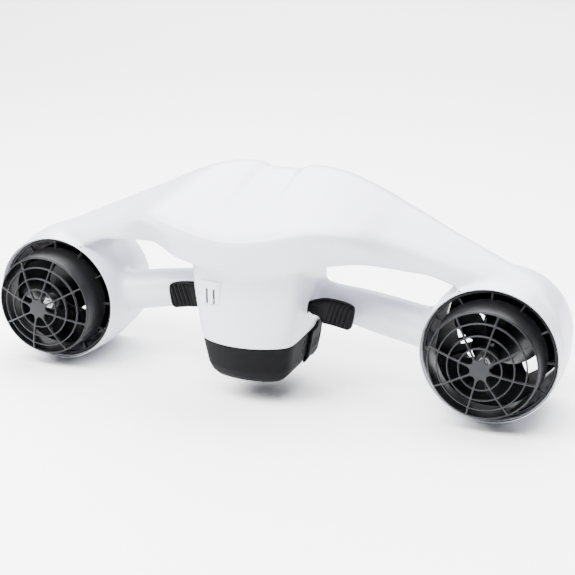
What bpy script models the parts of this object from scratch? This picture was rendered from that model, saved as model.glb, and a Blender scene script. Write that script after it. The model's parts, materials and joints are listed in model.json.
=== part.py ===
"""Twin-thruster underwater scooter: gull wing, two ducted thrusters, grips with finger levers, battery below.

Metres, +Z up. The front, with the thruster intakes, faces -Y. The origin is on the surface that the ducts
stand on, under the middle of the scooter, so x = 0 is its plane of symmetry. Right is +X.
"""

import math

import bmesh
import bpy
from mathutils import Matrix, Vector

# Driving dimensions
GAP = 0.0003  # clearance between pieces that touch
WALL = 0.003  # moulded shell wall
THRUSTER_X = 0.215  # half the distance between the thruster axes
AXIS_Z = 0.0637  # height of the thruster axes, the largest radius of a duct
FACE_Y = -0.006  # front face of the thruster flanges
SIDES = {"right": 1, "left": -1}
ROUND = 20  # sides of the large turned pieces
SMALL_ROUND = 16  # sides of the small turned pieces

# Wing stations, in millimetres: x, then (y, z) of the front edge, the crest, the rear nose, the tail
# and the chin
WING_STATIONS = (
    (0, (-92, 164), (62, 205), (86, 188), (82, 124), (-54, 121)),
    (30, (-92, 170), (64, 206), (86, 189), (82, 128), (-58, 128)),
    (46, (-90, 174), (65, 206.5), (86, 189), (82, 133), (-60, 132)),
    (60, (-86, 176), (65, 204), (86, 186), (82, 137), (-60, 136)),
    (80, (-77, 175), (66, 195), (86, 178), (81, 139), (-44, 138)),
    (100, (-62, 170), (66, 186), (86, 169), (78, 137), (-24, 136)),
    (120, (-36, 161), (64, 177), (82, 161), (75, 134), (-14, 133)),
    (140, (-20, 154), (60, 169), (78, 153), (71, 132), (-12, 131)),
    (160, (-13, 147), (57, 160), (75, 145), (68, 129), (-10, 129)),
    (180, (-8, 139), (53, 152), (72, 137), (67, 122), (-8, 122)),
    (200, (-2, 131), (50, 143), (69, 129), (65, 112), (-3, 112)),
    (220, (4, 123), (48, 136), (66, 122), (63, 104), (2, 104)),
    (244, (10, 112), (45, 125), (61, 112), (58, 92), (8, 92)),
)
WING_RADII = (0.008, 0.030, 0.014, 0.006, 0.004)  # at the same five corners
WING_CUTS = (0, 15, 30, 46, 60, 70, 80, 90, 100, 110, 120, 130, 140, 160, 180, 200, 220, 244)
ARC_STEPS = 1  # chords in each rounded corner of the wing
HOLLOW_END = 0.226  # the wing's hollow ends here, inside each tip
PARTING_UP = 0.006  # the shells part this far above the chin
PARTING_END = 0.175  # and outboard of this, the upper shell goes down to the duct

# Trunk and battery cap levels, in millimetres: z, half width, front y, rear y, radius of the front's bow
TRUNK_LEVELS = (
    (59, 44, -59, 62.5, 66),
    (75, 46.5, -57.7, 62.5, 90),
    (90, 48.7, -56.3, 62.5, 118),
    (109, 51.5, -54.5, 62.5, 190),
    (150, 57, -51, 62.5, 400),
)
CAP_LEVELS = (
    (20, 27, -39, 43, 66),
    (22.5, 32.5, -44.5, 48, 66),
    (27, 37, -49, 52.5, 66),
    (34, 40, -53, 56, 66),
    (58.7, 44, -59, 62.5, 66),
)
REAR_BOW = 0.066  # radius of the rear's bow
CORNER_R = 0.007  # between the flat sides and the bowed ends
BOW_STEPS = 6  # chords in each bow

# Grips and finger levers
GRIP_Y, GRIP_Z = 0.027, 0.077
GRIP_SHAPE = (  # x and radius
    (0.040, 0.0150),
    (0.062, 0.0150),
    (0.090, 0.0178),
    (0.115, 0.0188),
    (0.145, 0.0192),
    (0.175, 0.0215),
)
GRIP_WALL = 0.0025
GRIP_TILT = math.radians(10.5)  # each grip falls outwards, turned about this x
GRIP_TURN_X = 0.107
LEVER_PIN = (0.0412, -0.006)
LEVER_PIN_R = 0.0015
LEVER_Z = 0.088  # middle of the levers' inner ends
# Lever sections, in millimetres: x, then lowest and highest y, lowest and highest z
LEVER_SECTIONS = (
    (34, -9, -3, 84, 92),
    (44, -10, -2.5, 83, 93),
    (52, -10.5, -3, 82, 95),
    (60, -11.5, -3.5, 81, 97),
    (68, -12, -4, 75, 96.5),
    (75, -12, -4, 71, 95.5),
    (88, -12, -4, 70, 94.5),
    (92, -11, -5, 72, 92.5),
)
# The two ears that hold each lever's pin: lowest and highest z, and outer end
EAR_BOTTOM, EAR_TOP = (0.074, 0.078, 0.0460), (0.102, 0.106, 0.0500)

# Vent panel: middle of its block, its half width and half height, and its turn about Z
VENT_PLACE = (-0.0300, -0.0520, 0.1055)
VENT_HALF = (0.0100, 0.0112)
VENT_TURN = math.radians(-10)
VENT_PROUD = 0.0015
VENT_SLOTS = (-0.0024, 0.0051)  # across the panel

# Battery latches
LATCH_Y = (0.006, 0.034)
LATCH_PIN_X, LATCH_PIN_Z, LATCH_PIN_R = 0.0350, 0.028, 0.0012
# Latch sections, in millimetres: z, inner x, outer x
LATCH_SECTIONS = (
    (25.5, 36.2, 38.8),
    (32, 39.7, 42.7),
    (46, 42.5, 45.7),
    (58, 44.4, 47.3),
    (61.5, 44.9, 47.4),
)

# Thrusters: radii and distances behind the flange face
DUCT_PROFILE = (
    (0.0603, -0.0100),
    (0.0624, -0.0092),
    (0.0635, -0.0060),
    (0.0637, 0.0000),
    (0.0628, 0.0300),
    (0.0621, 0.0740),
    (0.0612, 0.0800),
    (0.0596, 0.0830),
    (0.0578, 0.0815),
    (0.0578, 0.0700),
    (0.0597, 0.0040),
    (0.0597, -0.0085),
)
RIM_R, RIM_Y = 0.0490, -0.0288  # front rim of the guard's drum
WEB_DEPTH = 0.0111  # the web's dome stands this far in front of the rim
SPOKES = 8
HUB_R = 0.0085  # the boss in the middle of each guard
FRONT_RINGS = (0.0184, 0.0286, 0.0384)
REAR_RINGS = (0.0220, 0.0360)
LINER_R, LINER_END = 0.0500, 0.0770
PROP_R = 0.0450
PROP_HUB_R = 0.0115
BLADES = 4
FIRST_BLADE = math.radians(-35)  # from straight up
SHAFT_R, SHAFT_BORE = 0.0025, 0.0028
BEARING_R = 0.0080
POD_R, POD_FRONT, POD_BACK = 0.0205, 0.0180, 0.0620
STATOR = (0.0105, 0.0172, 0.0300, 0.0500)  # inner and outer radius, start and end
STRUT_TILT = math.radians(22)  # the cable strut leans inboard of straight up
STRUT_Y = 0.0420
CABLE_R = 0.0020

# Battery and electronics, half widths and spans
BAY_X, BAY_Y, BAY_TOP = 0.0332, (-0.0412, 0.0465), 0.1205
CASE_X, CASE_Y, CASE_Z = 0.0300, (-0.0380, 0.0430), (0.0270, 0.1120)
CASE_WALL = 0.002
BOX_X, BOX_Y, BOX_Z = 0.0450, (-0.0200, 0.0600), (0.1400, 0.1650)

MM = 0.001

FINISHES = {
    "white": ((0.86, 0.88, 0.91), 0.28, 0.0),
    "black": ((0.018, 0.019, 0.021), 0.38, 0.0),
    "charcoal": ((0.035, 0.036, 0.040), 0.45, 0.0),
    "rubber": ((0.02, 0.02, 0.02), 0.8, 0.0),
    "steel": ((0.60, 0.61, 0.62), 0.28, 1.0),
    "copper": ((0.55, 0.28, 0.14), 0.35, 1.0),
    "board": ((0.03, 0.16, 0.07), 0.5, 0.0),
    "cell": ((0.10, 0.22, 0.42), 0.45, 0.0),
    "brass": ((0.72, 0.55, 0.26), 0.3, 1.0),
}


# Scene and object helpers


def clear_scene():
    for old in list(bpy.data.objects):
        bpy.data.objects.remove(old, do_unlink=True)


def add_material(obj, finish):
    colour, roughness, metallic = FINISHES[finish]
    material = bpy.data.materials.new(obj.name + "_finish")
    material.use_nodes = True
    shader = material.node_tree.nodes["Principled BSDF"]
    shader.inputs["Base Color"].default_value = (*colour, 1)
    shader.inputs["Roughness"].default_value = roughness
    shader.inputs["Metallic"].default_value = metallic
    obj.data.materials.append(material)


def object_from(bm, name, finish=None, origin=(0, 0, 0)):
    """An object from a bmesh made in world coordinates, with its own origin at the given place."""
    bmesh.ops.translate(bm, verts=bm.verts, vec=-Vector(origin))
    bmesh.ops.recalc_face_normals(bm, faces=bm.faces)
    mesh = bpy.data.meshes.new(name)
    bm.to_mesh(mesh)
    bm.free()
    mesh.shade_smooth()
    mesh.set_sharp_from_angle(angle=math.radians(35))
    obj = bpy.data.objects.new(name, mesh)
    obj.location = origin
    bpy.context.scene.collection.objects.link(obj)
    if finish:
        add_material(obj, finish)
    return obj


def combine(obj, bm, operation):
    """Adds a Boolean with a helper object made from the bmesh."""
    helper = object_from(bm, f"{obj.name}_helper_{len(obj.modifiers)}")
    helper.hide_render = True
    helper.display_type = "WIRE"
    modifier = obj.modifiers.new(operation.lower(), "BOOLEAN")
    modifier.operation = operation
    modifier.solver = "EXACT"
    modifier.object = helper


def cut(obj, bm):
    combine(obj, bm, "DIFFERENCE")


def join(obj, bm):
    combine(obj, bm, "UNION")


def parented(obj, pivot):
    """Parents an object to its joint's empty without moving it."""
    obj.parent = pivot
    obj.location = Vector(obj.location) - pivot.location


def pivot_at(name, place):
    pivot = bpy.data.objects.new(name, None)
    pivot.location = place
    bpy.context.scene.collection.objects.link(pivot)
    return pivot


# Shape helpers, each of which returns a bmesh


def loft(rings):
    """A closed solid through rings of points, with flat ends."""
    bm = bmesh.new()
    made = [[bm.verts.new(point) for point in ring] for ring in rings]
    count = len(made[0])
    for low, high in zip(made, made[1:]):
        for i in range(count):
            j = (i + 1) % count
            bm.faces.new((low[i], low[j], high[j], high[i]))
    bm.faces.new(made[0])
    bm.faces.new(made[-1])
    return bm


def box(low, high):
    x0, y0, z0 = low
    x1, y1, z1 = high
    ring = ((x0, y0), (x1, y0), (x1, y1), (x0, y1))
    return loft([[(x, y, z) for x, y in ring] for z in (z0, z1)])


def sided_box(side, low, high):
    """A box given for the right side, moved to the named side."""
    bm = box(low, high)
    bmesh.ops.scale(bm, vec=(side, 1, 1), verts=bm.verts)
    return bm


def turned(profile, centre, sides=ROUND, axis="Y"):
    """A profile of (radius, distance) turned about an axis. Off the axis, it makes a ring."""
    bm = bmesh.new()
    verts = [bm.verts.new((radius, along, 0)) for radius, along in profile]
    edges = [bm.edges.new(pair) for pair in zip(verts, verts[1:])]
    if min(radius for radius, _ in profile) > 0:
        edges.append(bm.edges.new((verts[-1], verts[0])))
    bmesh.ops.spin(
        bm, geom=verts + edges, cent=(0, 0, 0), axis=(0, 1, 0), steps=sides, angle=math.tau, use_merge=True
    )
    bmesh.ops.remove_doubles(bm, verts=bm.verts, dist=1e-6)
    if axis == "Z":
        bmesh.ops.rotate(bm, cent=(0, 0, 0), matrix=Matrix.Rotation(math.pi / 2, 3, "X"), verts=bm.verts)
    bmesh.ops.translate(bm, vec=centre, verts=bm.verts)
    return bm


def rod(radius, start, end, centre, sides=SMALL_ROUND, axis="Y"):
    return turned(((0, start), (radius, start), (radius, end), (0, end)), centre, sides, axis)


def ring(inner, outer, start, end, centre, sides=SMALL_ROUND, axis="Y"):
    profile = ((inner, start), (outer, start), (outer, end), (inner, end))
    return turned(profile, centre, sides, axis)


def rounded_rectangle(x0, x1, y0, y1, radius, steps=2):
    left, right, near, far = x0 + radius, x1 - radius, y0 + radius, y1 - radius
    points = []
    for quarter, (cx, cy) in enumerate(((right, far), (left, far), (left, near), (right, near))):
        for step in range(steps + 1):
            angle = math.radians(90 * (quarter + step / steps))
            points.append((cx + radius * math.cos(angle), cy + radius * math.sin(angle)))
    return points


def rounded_box(x0, x1, y0, y1, z0, z1, radius=0.004):
    outline = rounded_rectangle(x0, x1, y0, y1, radius)
    return loft([[(x, y, z) for x, y in outline] for z in (z0, z1)])


# The wing


def eased(table, x):
    """Values of a table at x, on a smooth curve through its rows."""
    rows = [[row[0], *(value for corner in row[1:] for value in corner)] for row in table]
    index = max(i for i, row in enumerate(rows[:-1]) if row[0] <= x)
    near, far = rows[index], rows[index + 1]
    before = rows[index - 1] if index else [-far[0], *far[1:]]
    after = rows[min(index + 2, len(rows) - 1)]
    span = far[0] - near[0]
    t = (x - near[0]) / span
    values = []
    for k in range(1, len(near)):
        slope_near = (far[k] - before[k]) / (far[0] - before[0]) * span
        slope_far = (after[k] - near[k]) / (after[0] - near[0]) * span
        values.append(
            (2 * t**3 - 3 * t**2 + 1) * near[k]
            + (t**3 - 2 * t**2 + t) * slope_near
            + (3 * t**2 - 2 * t**3) * far[k]
            + (t**3 - t**2) * slope_far
        )
    return values


def wing_corners(x, inset=0.0):
    """The five corners of the wing's section at x, in metres, moved inwards by the inset."""
    flat = eased(WING_STATIONS, min(abs(x) / MM, WING_STATIONS[-1][0]))
    corners = [Vector((flat[i], flat[i + 1])) * MM for i in range(0, len(flat), 2)]
    if not inset:
        return corners
    moved = []
    for i, corner in enumerate(corners):
        before = (corner - corners[i - 1]).normalized()
        after = (corners[(i + 1) % len(corners)] - corner).normalized()
        bisector = Vector((before.y + after.y, -before.x - after.x)).normalized()
        reach = inset / max(0.3, bisector.dot(Vector((before.y, -before.x))))
        moved.append(corner + bisector * reach)
    return moved


def filleted(corners, radii, steps):
    """The corners' outline with each corner turned into an arc."""
    points = []
    for i, corner in enumerate(corners):
        to_before = corners[i - 1] - corner
        to_after = corners[(i + 1) % len(corners)] - corner
        half = to_before.angle(to_after) / 2
        reach = min(radii[i] / math.tan(half), 0.45 * min(to_before.length, to_after.length))
        radius = reach * math.tan(half)
        inwards = (to_before.normalized() + to_after.normalized()).normalized()
        centre = corner + inwards * radius / math.sin(half)
        start = corner + to_before.normalized() * reach - centre
        sweep = math.copysign(math.pi - 2 * half, to_after.cross(to_before))
        for step in range(steps + 1):
            points.append(centre + Matrix.Rotation(sweep * step / steps, 2) @ start)
    return points


def wing(inset=0.0, last=WING_STATIONS[-1][0] * MM):
    """The wing as a solid, moved inwards by the inset."""
    radii = [max(0.001, radius - inset) for radius in WING_RADII]
    cuts = [x * MM for x in WING_CUTS if x * MM < last] + [last]
    rings = []
    for x in [-x for x in reversed(cuts[1:])] + cuts:
        outline = filleted(wing_corners(x, inset), radii, ARC_STEPS)
        rings.append([(x, point.x, point.y) for point in outline])
    return loft(rings)


def below_parting(up):
    """Everything in the wing below the surface on which its two shells part."""
    rings = []
    cuts = [x * MM for x in WING_CUTS if x * MM < PARTING_END] + [PARTING_END]
    for x in [-x for x in reversed(cuts[1:])] + cuts:
        top = wing_corners(x)[4].y + up
        rings.append([(x, -0.1, 0.1), (x, 0.1, 0.1), (x, 0.1, top), (x, -0.1, top)])
    return loft(rings)


def duct_envelope(side):
    """The space that a duct takes, which the wing, grip and lower shell stay clear of."""
    outside = [point for point in DUCT_PROFILE if point[0] > 0.0579]
    grown = [(radius + GAP, along) for radius, along in outside[:8]]
    profile = [(0, -0.0120), (grown[0][0], -0.0120), *grown, (grown[-1][0], 0.0900), (0, 0.0900)]
    return turned(profile, (side * THRUSTER_X, FACE_Y, AXIS_Z))


def bowed_end(half_width, face, towards, bow, corner):
    """The front or rear of the trunk's outline: a bow between two rounded corners, from -x to +x."""
    bow_centre = face - towards * bow
    across = half_width - corner
    root = math.sqrt((bow - corner) ** 2 - across**2)
    lean = math.atan2(across, root)
    turns = [lean * (2 * i / BOW_STEPS - 1) for i in range(BOW_STEPS + 1)]
    points = [(bow * math.sin(turn), bow_centre + towards * bow * math.cos(turn)) for turn in turns]
    for turn in ((math.pi / 2 + lean) / 2, math.pi / 2):
        x, y = across + corner * math.sin(turn), bow_centre + towards * (root + corner * math.cos(turn))
        points = [(-x, y), *points, (x, y)]
    return points


def trunk_loft(levels, inset=0.0):
    """A solid with flat sides and bowed ends, moved inwards by the inset."""
    rings = []
    for z, half_width, front, rear, bow in levels:
        half = half_width * MM - inset
        near = bowed_end(half, front * MM + inset, -1, bow * MM - inset, CORNER_R - inset)
        far = bowed_end(half, rear * MM - inset, 1, REAR_BOW - inset, CORNER_R - inset)
        rings.append([(x, y, z * MM) for x, y in near + far[::-1]])
    return loft(rings)


def trunk_column(inset=0.0, drop=0.0):
    """The trunk, full height, with its lower end moved down by the drop."""
    lowest = TRUNK_LEVELS[0]
    return trunk_loft(((lowest[0] - drop, *lowest[1:]), *TRUNK_LEVELS[1:]), inset)


def make_wing():
    upper = object_from(wing(), "upper_shell", "white")
    cut(upper, wing(WALL, HOLLOW_END))
    cut(upper, below_parting(PARTING_UP))
    lower = object_from(wing(0.0, PARTING_END - GAP), "lower_shell", "white")
    cut(lower, wing(WALL, HOLLOW_END))
    combine(lower, below_parting(PARTING_UP - GAP), "INTERSECT")
    cut(lower, trunk_column(WALL))
    for side in SIDES.values():
        cut(upper, duct_envelope(side))
        cut(lower, duct_envelope(side))


def make_trunk():
    trunk = object_from(trunk_column(), "trunk_housing", "white")
    cut(trunk, trunk_column(WALL, 1.0))
    cut(trunk, wing(-GAP))
    for side in SIDES.values():
        for low, high, end in (EAR_BOTTOM, EAR_TOP):
            join(trunk, sided_box(side, (0.0345, -0.0175, low), (end, 0.0080, high)))
        place = (side * LEVER_PIN[0], LEVER_PIN[1], 0)
        cut(trunk, rod(LEVER_PIN_R + GAP, 0.0735, 0.1100, place, 12, "Z"))
        cut(trunk, sided_box(side, (0.0425, -0.0130, 0.0800), (0.0620, 0.0020, 0.0985)))
    cut(trunk, vent_block(VENT_HALF[0] + GAP, VENT_HALF[1] + GAP, 0.020))


def on_vent(bm):
    """Moves a shape made at the origin, facing -Y, to the vent panel's place."""
    bmesh.ops.rotate(bm, cent=(0, 0, 0), matrix=Matrix.Rotation(VENT_TURN, 3, "Z"), verts=bm.verts)
    bmesh.ops.translate(bm, vec=VENT_PLACE, verts=bm.verts)
    return bm


def vent_block(half_across, half_up, deep):
    return on_vent(box((-half_across, -VENT_PROUD, -half_up), (half_across, deep, half_up)))


def make_vent_panel():
    panel = object_from(vent_block(*VENT_HALF, 0.0025), "vent_panel", "white")
    for across in VENT_SLOTS:
        cut(panel, on_vent(box((across - 0.0009, -0.01, -0.0105), (across + 0.0009, 0.01, 0.0035))))


def grip_body(side, inset=0.0):
    shape = [(radius - inset, x) for x, radius in GRIP_SHAPE]
    reach = 10 * inset  # a hollow runs out past both ends
    bm = turned([(0, shape[0][1] - reach), *shape, (0, shape[-1][1] + reach)], (0, 0, 0))
    bmesh.ops.rotate(bm, cent=(0, 0, 0), matrix=Matrix.Rotation(-side * math.pi / 2, 3, "Z"), verts=bm.verts)
    centre = Vector((side * GRIP_TURN_X, GRIP_Y, GRIP_Z))
    bmesh.ops.translate(bm, vec=(0, GRIP_Y, GRIP_Z), verts=bm.verts)
    bmesh.ops.rotate(bm, cent=centre, matrix=Matrix.Rotation(side * GRIP_TILT, 3, "Y"), verts=bm.verts)
    return bm


def make_grip(name, side):
    grip = object_from(grip_body(side), f"grip_{name}", "white")
    cut(grip, trunk_column(-GAP))
    cut(grip, duct_envelope(side))
    cut(grip, grip_body(side, GRIP_WALL))


# Thrusters


def dome(radius):
    """How far the front web stands in front of the drum's rim at a radius."""
    return WEB_DEPTH * (1 - (radius / RIM_R) ** 2)


def pair(row, first, second):
    return row[first], row[second]


def wall(bm, front, rear, start, end):
    """A face between the front and rear layers of a web, from one (row, column) to another."""
    ahead = [front[row][column] for row, column in (start, end)]
    behind = [rear[row][column] for row, column in (end, start)]
    bm.faces.new(ahead + behind)


def web(hub, rings, rim, bar, spoke, front_of, thickness, arcs=1):
    """A wheel of a hub, spokes and rings. front_of gives the distance of its front face at a radius."""
    bounds = [0.6 * hub, hub]
    for radius in rings:
        bounds += [radius - bar / 2, radius + bar / 2]
    bounds += list(rim)
    solid_bands = {0} | set(range(2, len(bounds) - 1, 2))
    columns = SPOKES * (arcs + 1)
    bm = bmesh.new()

    def angle_of(column, radius):
        sector, part = divmod(column, arcs + 1)
        half = math.asin(min(0.9, spoke / 2 / radius))
        start = math.tau * (sector + 0.5) / SPOKES
        if part == 0:
            return start - half
        return start + half + (math.tau / SPOKES - 2 * half) * (part - 1) / arcs

    layers = []
    for back in (0, thickness):
        layer = []
        for radius in bounds:
            along = front_of(radius) + back
            angles = [angle_of(column, radius) for column in range(columns)]
            layer.append([bm.verts.new((radius * math.cos(a), along, radius * math.sin(a))) for a in angles])
        layers.append(layer)
    front, rear = layers
    centre = [bm.verts.new((0, front_of(0) + back, 0)) for back in (0, thickness)]

    def solid(band, column):
        if band < 0:
            return True
        if band >= len(bounds) - 1:
            return False
        return band in solid_bands or column % (arcs + 1) == 0

    for band in range(len(bounds) - 1):
        outer = band + 1
        for column in range(columns):
            if not solid(band, column):
                continue
            after = (column + 1) % columns
            for layer in layers:
                bm.faces.new((*pair(layer[band], column, after), *pair(layer[outer], after, column)))
            if not solid(band, (column - 1) % columns):
                wall(bm, front, rear, (band, column), (outer, column))
            if not solid(band, after):
                wall(bm, front, rear, (band, after), (outer, after))
            if band and not solid(band - 1, column):
                wall(bm, front, rear, (band, column), (band, after))
            if not solid(outer, column):
                wall(bm, front, rear, (outer, column), (outer, after))
    for column in range(columns):
        after = (column + 1) % columns
        for layer, middle in zip(layers, centre):
            bm.faces.new((middle, layer[0][column], layer[0][after]))
    return bm


def flange():
    """The front guard's flange: a ring joined to the drum by short ribs, with slots between them."""
    bounds = (0.0488, 0.0495, 0.0568, 0.0586)
    ribs = 2 * SPOKES
    bm = bmesh.new()
    layers = []
    for along in (-0.0012, 0.0014):
        layer = []
        for radius in bounds:
            half = 0.0012 / radius
            angles = [math.tau * (i // 2) / ribs + (half if i % 2 else -half) for i in range(2 * ribs)]
            layer.append([bm.verts.new((radius * math.cos(a), along, radius * math.sin(a))) for a in angles])
        layers.append(layer)
    front, rear = layers
    count = 2 * ribs
    for column in range(count):
        after = (column + 1) % count
        rib = column % 2 == 0
        for band in range(3):
            if band == 1 and not rib:
                continue
            for layer in layers:
                bm.faces.new((*pair(layer[band], column, after), *pair(layer[band + 1], after, column)))
        for rim in (0, 3) if rib else range(4):
            wall(bm, front, rear, (rim, column), (rim, after))
        if rib:
            for edge in (column, after):
                wall(bm, front, rear, (1, edge), (2, edge))
    return bm


def placed(bm, side, turn=0.0):
    """Moves a thruster piece, made about the Y axis, to its own side, turned about the axis."""
    bmesh.ops.rotate(bm, cent=(0, 0, 0), matrix=Matrix.Rotation(turn, 3, "Y"), verts=bm.verts)
    bmesh.ops.translate(bm, vec=(side * THRUSTER_X, FACE_Y, AXIS_Z), verts=bm.verts)
    return bm


def strut(half_across, half_along, low, high):
    """An oval column up from the thruster's axis."""
    angles = [math.tau * i / 12 for i in range(12)]
    oval = [(half_across * math.cos(a), STRUT_Y + half_along * math.sin(a)) for a in angles]
    return loft([[(x, y, height) for x, y in oval] for height in (low, high)])


def make_duct(name, side):
    tilt = -side * STRUT_TILT
    shell = object_from(placed(turned(DUCT_PROFILE, (0, 0, 0)), side), f"duct_shell_{name}", "white")
    cut(shell, placed(strut(0.0032, 0.0032, 0.050, 0.070), side, tilt))
    liner = ring(LINER_R - 0.0022, LINER_R, 0.0021, LINER_END, (0, 0, 0), ROUND)
    liner = object_from(placed(liner, side), f"duct_liner_{name}", "black")
    cut(liner, placed(strut(0.0050, 0.0080, 0.040, 0.056), side, tilt))


def make_guards(name, side):
    rim = (0.0468, 0.0476)
    front_bars = web(HUB_R, FRONT_RINGS, rim, 0.0015, 0.0020, lambda radius: RIM_Y - dome(radius), 0.0028)
    guard = object_from(placed(front_bars, side), f"front_guard_{name}", "black")
    outer = LINER_R + 0.0002
    drum = ((RIM_R - 0.0022, RIM_Y), (RIM_R, RIM_Y), (outer, 0.0018), (outer - 0.0022, 0.0018))
    join(guard, placed(turned(drum, (0, 0, 0), ROUND + 4), side))
    join(guard, placed(flange(), side))
    rear_bars = web(HUB_R, REAR_RINGS, (0.0500, 0.0566), 0.0020, 0.0024, lambda radius: 0.0774, 0.0030)
    object_from(placed(rear_bars, side), f"rear_guard_{name}", "black")


def blade(turn):
    """One blade: a thin twisted plate from inside the hub to the tip."""
    rings = []
    for step in range(5):
        share = step / 4
        radius = 0.0095 + (PROP_R - 0.0095) * share
        pitch = math.radians(58 - 34 * share)
        chord = 0.0125 + 0.0085 * math.sin(math.pi * min(1, share * 0.85))
        thick = 0.0013 - 0.0004 * share
        ahead = Vector((math.cos(pitch), -math.sin(pitch)))
        above = Vector((math.sin(pitch), math.cos(pitch)))
        ring_points = []
        for along, up in ((-chord, 0), (0, thick), (chord, 0), (0, -thick)):
            across, back = ahead * along + above * up
            bend = across / radius
            ring_points.append((radius * math.sin(bend), back, radius * math.cos(bend)))
        rings.append(ring_points)
    bm = loft(rings)
    bmesh.ops.rotate(bm, cent=(0, 0, 0), matrix=Matrix.Rotation(turn, 3, "Y"), verts=bm.verts)
    return bm


def make_propeller(name, side):
    pivot = pivot_at(f"propeller_axis_{name}", (side * THRUSTER_X, FACE_Y, AXIS_Z))
    origin = pivot.location.copy()
    start, end = -0.015, 0.014
    hub = ((SHAFT_BORE, start), (0.0085, start), (PROP_HUB_R, -0.009), (PROP_HUB_R, end), (SHAFT_BORE, end))
    hub = placed(turned(hub, (0, 0, 0), SMALL_ROUND), side)
    prop = object_from(hub, f"propeller_{name}", "black", origin)
    for i in range(BLADES):
        bm = blade(FIRST_BLADE + math.tau * i / BLADES)
        if side < 0:
            bmesh.ops.scale(bm, vec=(-1, 1, 1), verts=bm.verts)
        join(prop, placed(bm, side))
    cut(prop, placed(rod(SHAFT_BORE, -0.03, 0.03, (0, 0, 0)), side))
    shaft = rod(SHAFT_R, -0.0205, 0.0600, (0, 0, 0), 12)
    shaft = object_from(placed(shaft, side), f"propeller_shaft_{name}", "steel", origin)
    rotor = ring(SHAFT_BORE, STATOR[0] - 0.0006, STATOR[2], STATOR[3], (0, 0, 0))
    rotor = object_from(placed(rotor, side), f"motor_rotor_{name}", "steel", origin)
    nut = ring(0.0034, 0.0056, -0.0200, -0.0153, (0, 0, 0), 6)
    nut = object_from(placed(nut, side), f"propeller_nut_{name}", "steel", origin)
    for piece in (prop, shaft, rotor, nut):
        parented(piece, pivot)


def make_motor(name, side):
    pod_profile = (
        (BEARING_R + GAP, POD_FRONT),
        (0.0170, POD_FRONT),
        (POD_R, POD_FRONT + 0.004),
        (POD_R, POD_BACK),
        (0.0175, POD_BACK),
        (0.0175, 0.0270),
        (BEARING_R + GAP, 0.0270),
    )
    pod = object_from(placed(turned(pod_profile, (0, 0, 0)), side), f"motor_pod_{name}", "black")
    for quarter in (1, 2, 3):
        vane = box((-0.0013, 0.030, 0.0195), (0.0013, 0.055, 0.0468))
        join(pod, placed(vane, side, -side * STRUT_TILT + quarter * math.pi / 2))
    join(pod, placed(strut(0.0045, 0.0075, 0.0190, 0.0570), side, -side * STRUT_TILT))
    cut(pod, placed(strut(0.0026, 0.0026, 0.0150, 0.0600), side, -side * STRUT_TILT))
    object_from(placed(ring(*STATOR, (0, 0, 0), 18), side), f"motor_stator_{name}", "copper")
    for piece, start, end, finish in (
        ("shaft_seal", 0.0182, 0.0208, "rubber"),
        ("front_bearing", 0.0212, 0.0262, "steel"),
        ("rear_bearing", 0.0555, 0.0605, "steel"),
    ):
        plain_ring = ring(SHAFT_BORE, BEARING_R, start, end, (0, 0, 0))
        object_from(placed(plain_ring, side), f"{piece}_{name}", finish)
    tail = (
        (0, 0.0745),
        (0.0120, 0.0720),
        (POD_R, POD_BACK + 0.0025),
        (POD_R, POD_BACK + GAP),
        (0.0172, POD_BACK + GAP),
        (0.0172, 0.0550),
        (BEARING_R + GAP, 0.0550),
        (BEARING_R + GAP, 0.0650),
        (0, 0.0650),
    )
    object_from(placed(turned(tail, (0, 0, 0)), side), f"motor_tail_{name}", "black")


def cable(name, points, radius, finish="rubber", steps=3):
    """A round cable on a smooth curve through its points."""
    curve = bpy.data.curves.new(name, "CURVE")
    curve.dimensions = "3D"
    spline = curve.splines.new("POLY")
    smooth = smoothed(points, steps)
    spline.points.add(len(smooth) - 1)
    for point, place in zip(spline.points, smooth):
        point.co = (*place, 1)
    curve.bevel_depth = radius
    curve.bevel_resolution = 2
    curve.use_fill_caps = True
    obj = bpy.data.objects.new(name, curve)
    bpy.context.scene.collection.objects.link(obj)
    add_material(obj, finish)
    return obj


def smoothed(points, steps):
    """Points on a Catmull-Rom curve through the given ones."""
    ends = [2 * points[0] - points[1], *points, 2 * points[-1] - points[-2]]
    curve = []
    for before, near, far, after in zip(ends, ends[1:], ends[2:], ends[3:]):
        for step in range(steps):
            t = step / steps
            square = 2 * before - 5 * near + 4 * far - after
            cube = 3 * near - before - 3 * far + after
            curve.append(0.5 * (2 * near + (far - before) * t + square * t**2 + cube * t**3))
    return curve + [points[-1]]


def make_motor_cable(name, side):
    """From inside the motor pod, up its strut and along the arm to the control box."""
    points = []
    for radius in (0.0182, 0.0400, 0.0600):
        across, up = radius * math.sin(STRUT_TILT), radius * math.cos(STRUT_TILT)
        points.append(Vector((side * (THRUSTER_X - across), FACE_Y + STRUT_Y, AXIS_Z + up)))
    for x, y, z in (
        (0.1865, 0.036, 0.1325),
        (0.1750, 0.036, 0.1395),
        (0.1450, 0.036, 0.1450),
        (0.1100, 0.034, 0.1510),
        (0.0750, 0.027, 0.1535),
        (BOX_X + 2 * GAP, 0.022, 0.1530),
    ):
        points.append(Vector((side * x, y, z)))
    cable(f"motor_cable_{name}", points, CABLE_R)


# Finger levers


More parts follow.
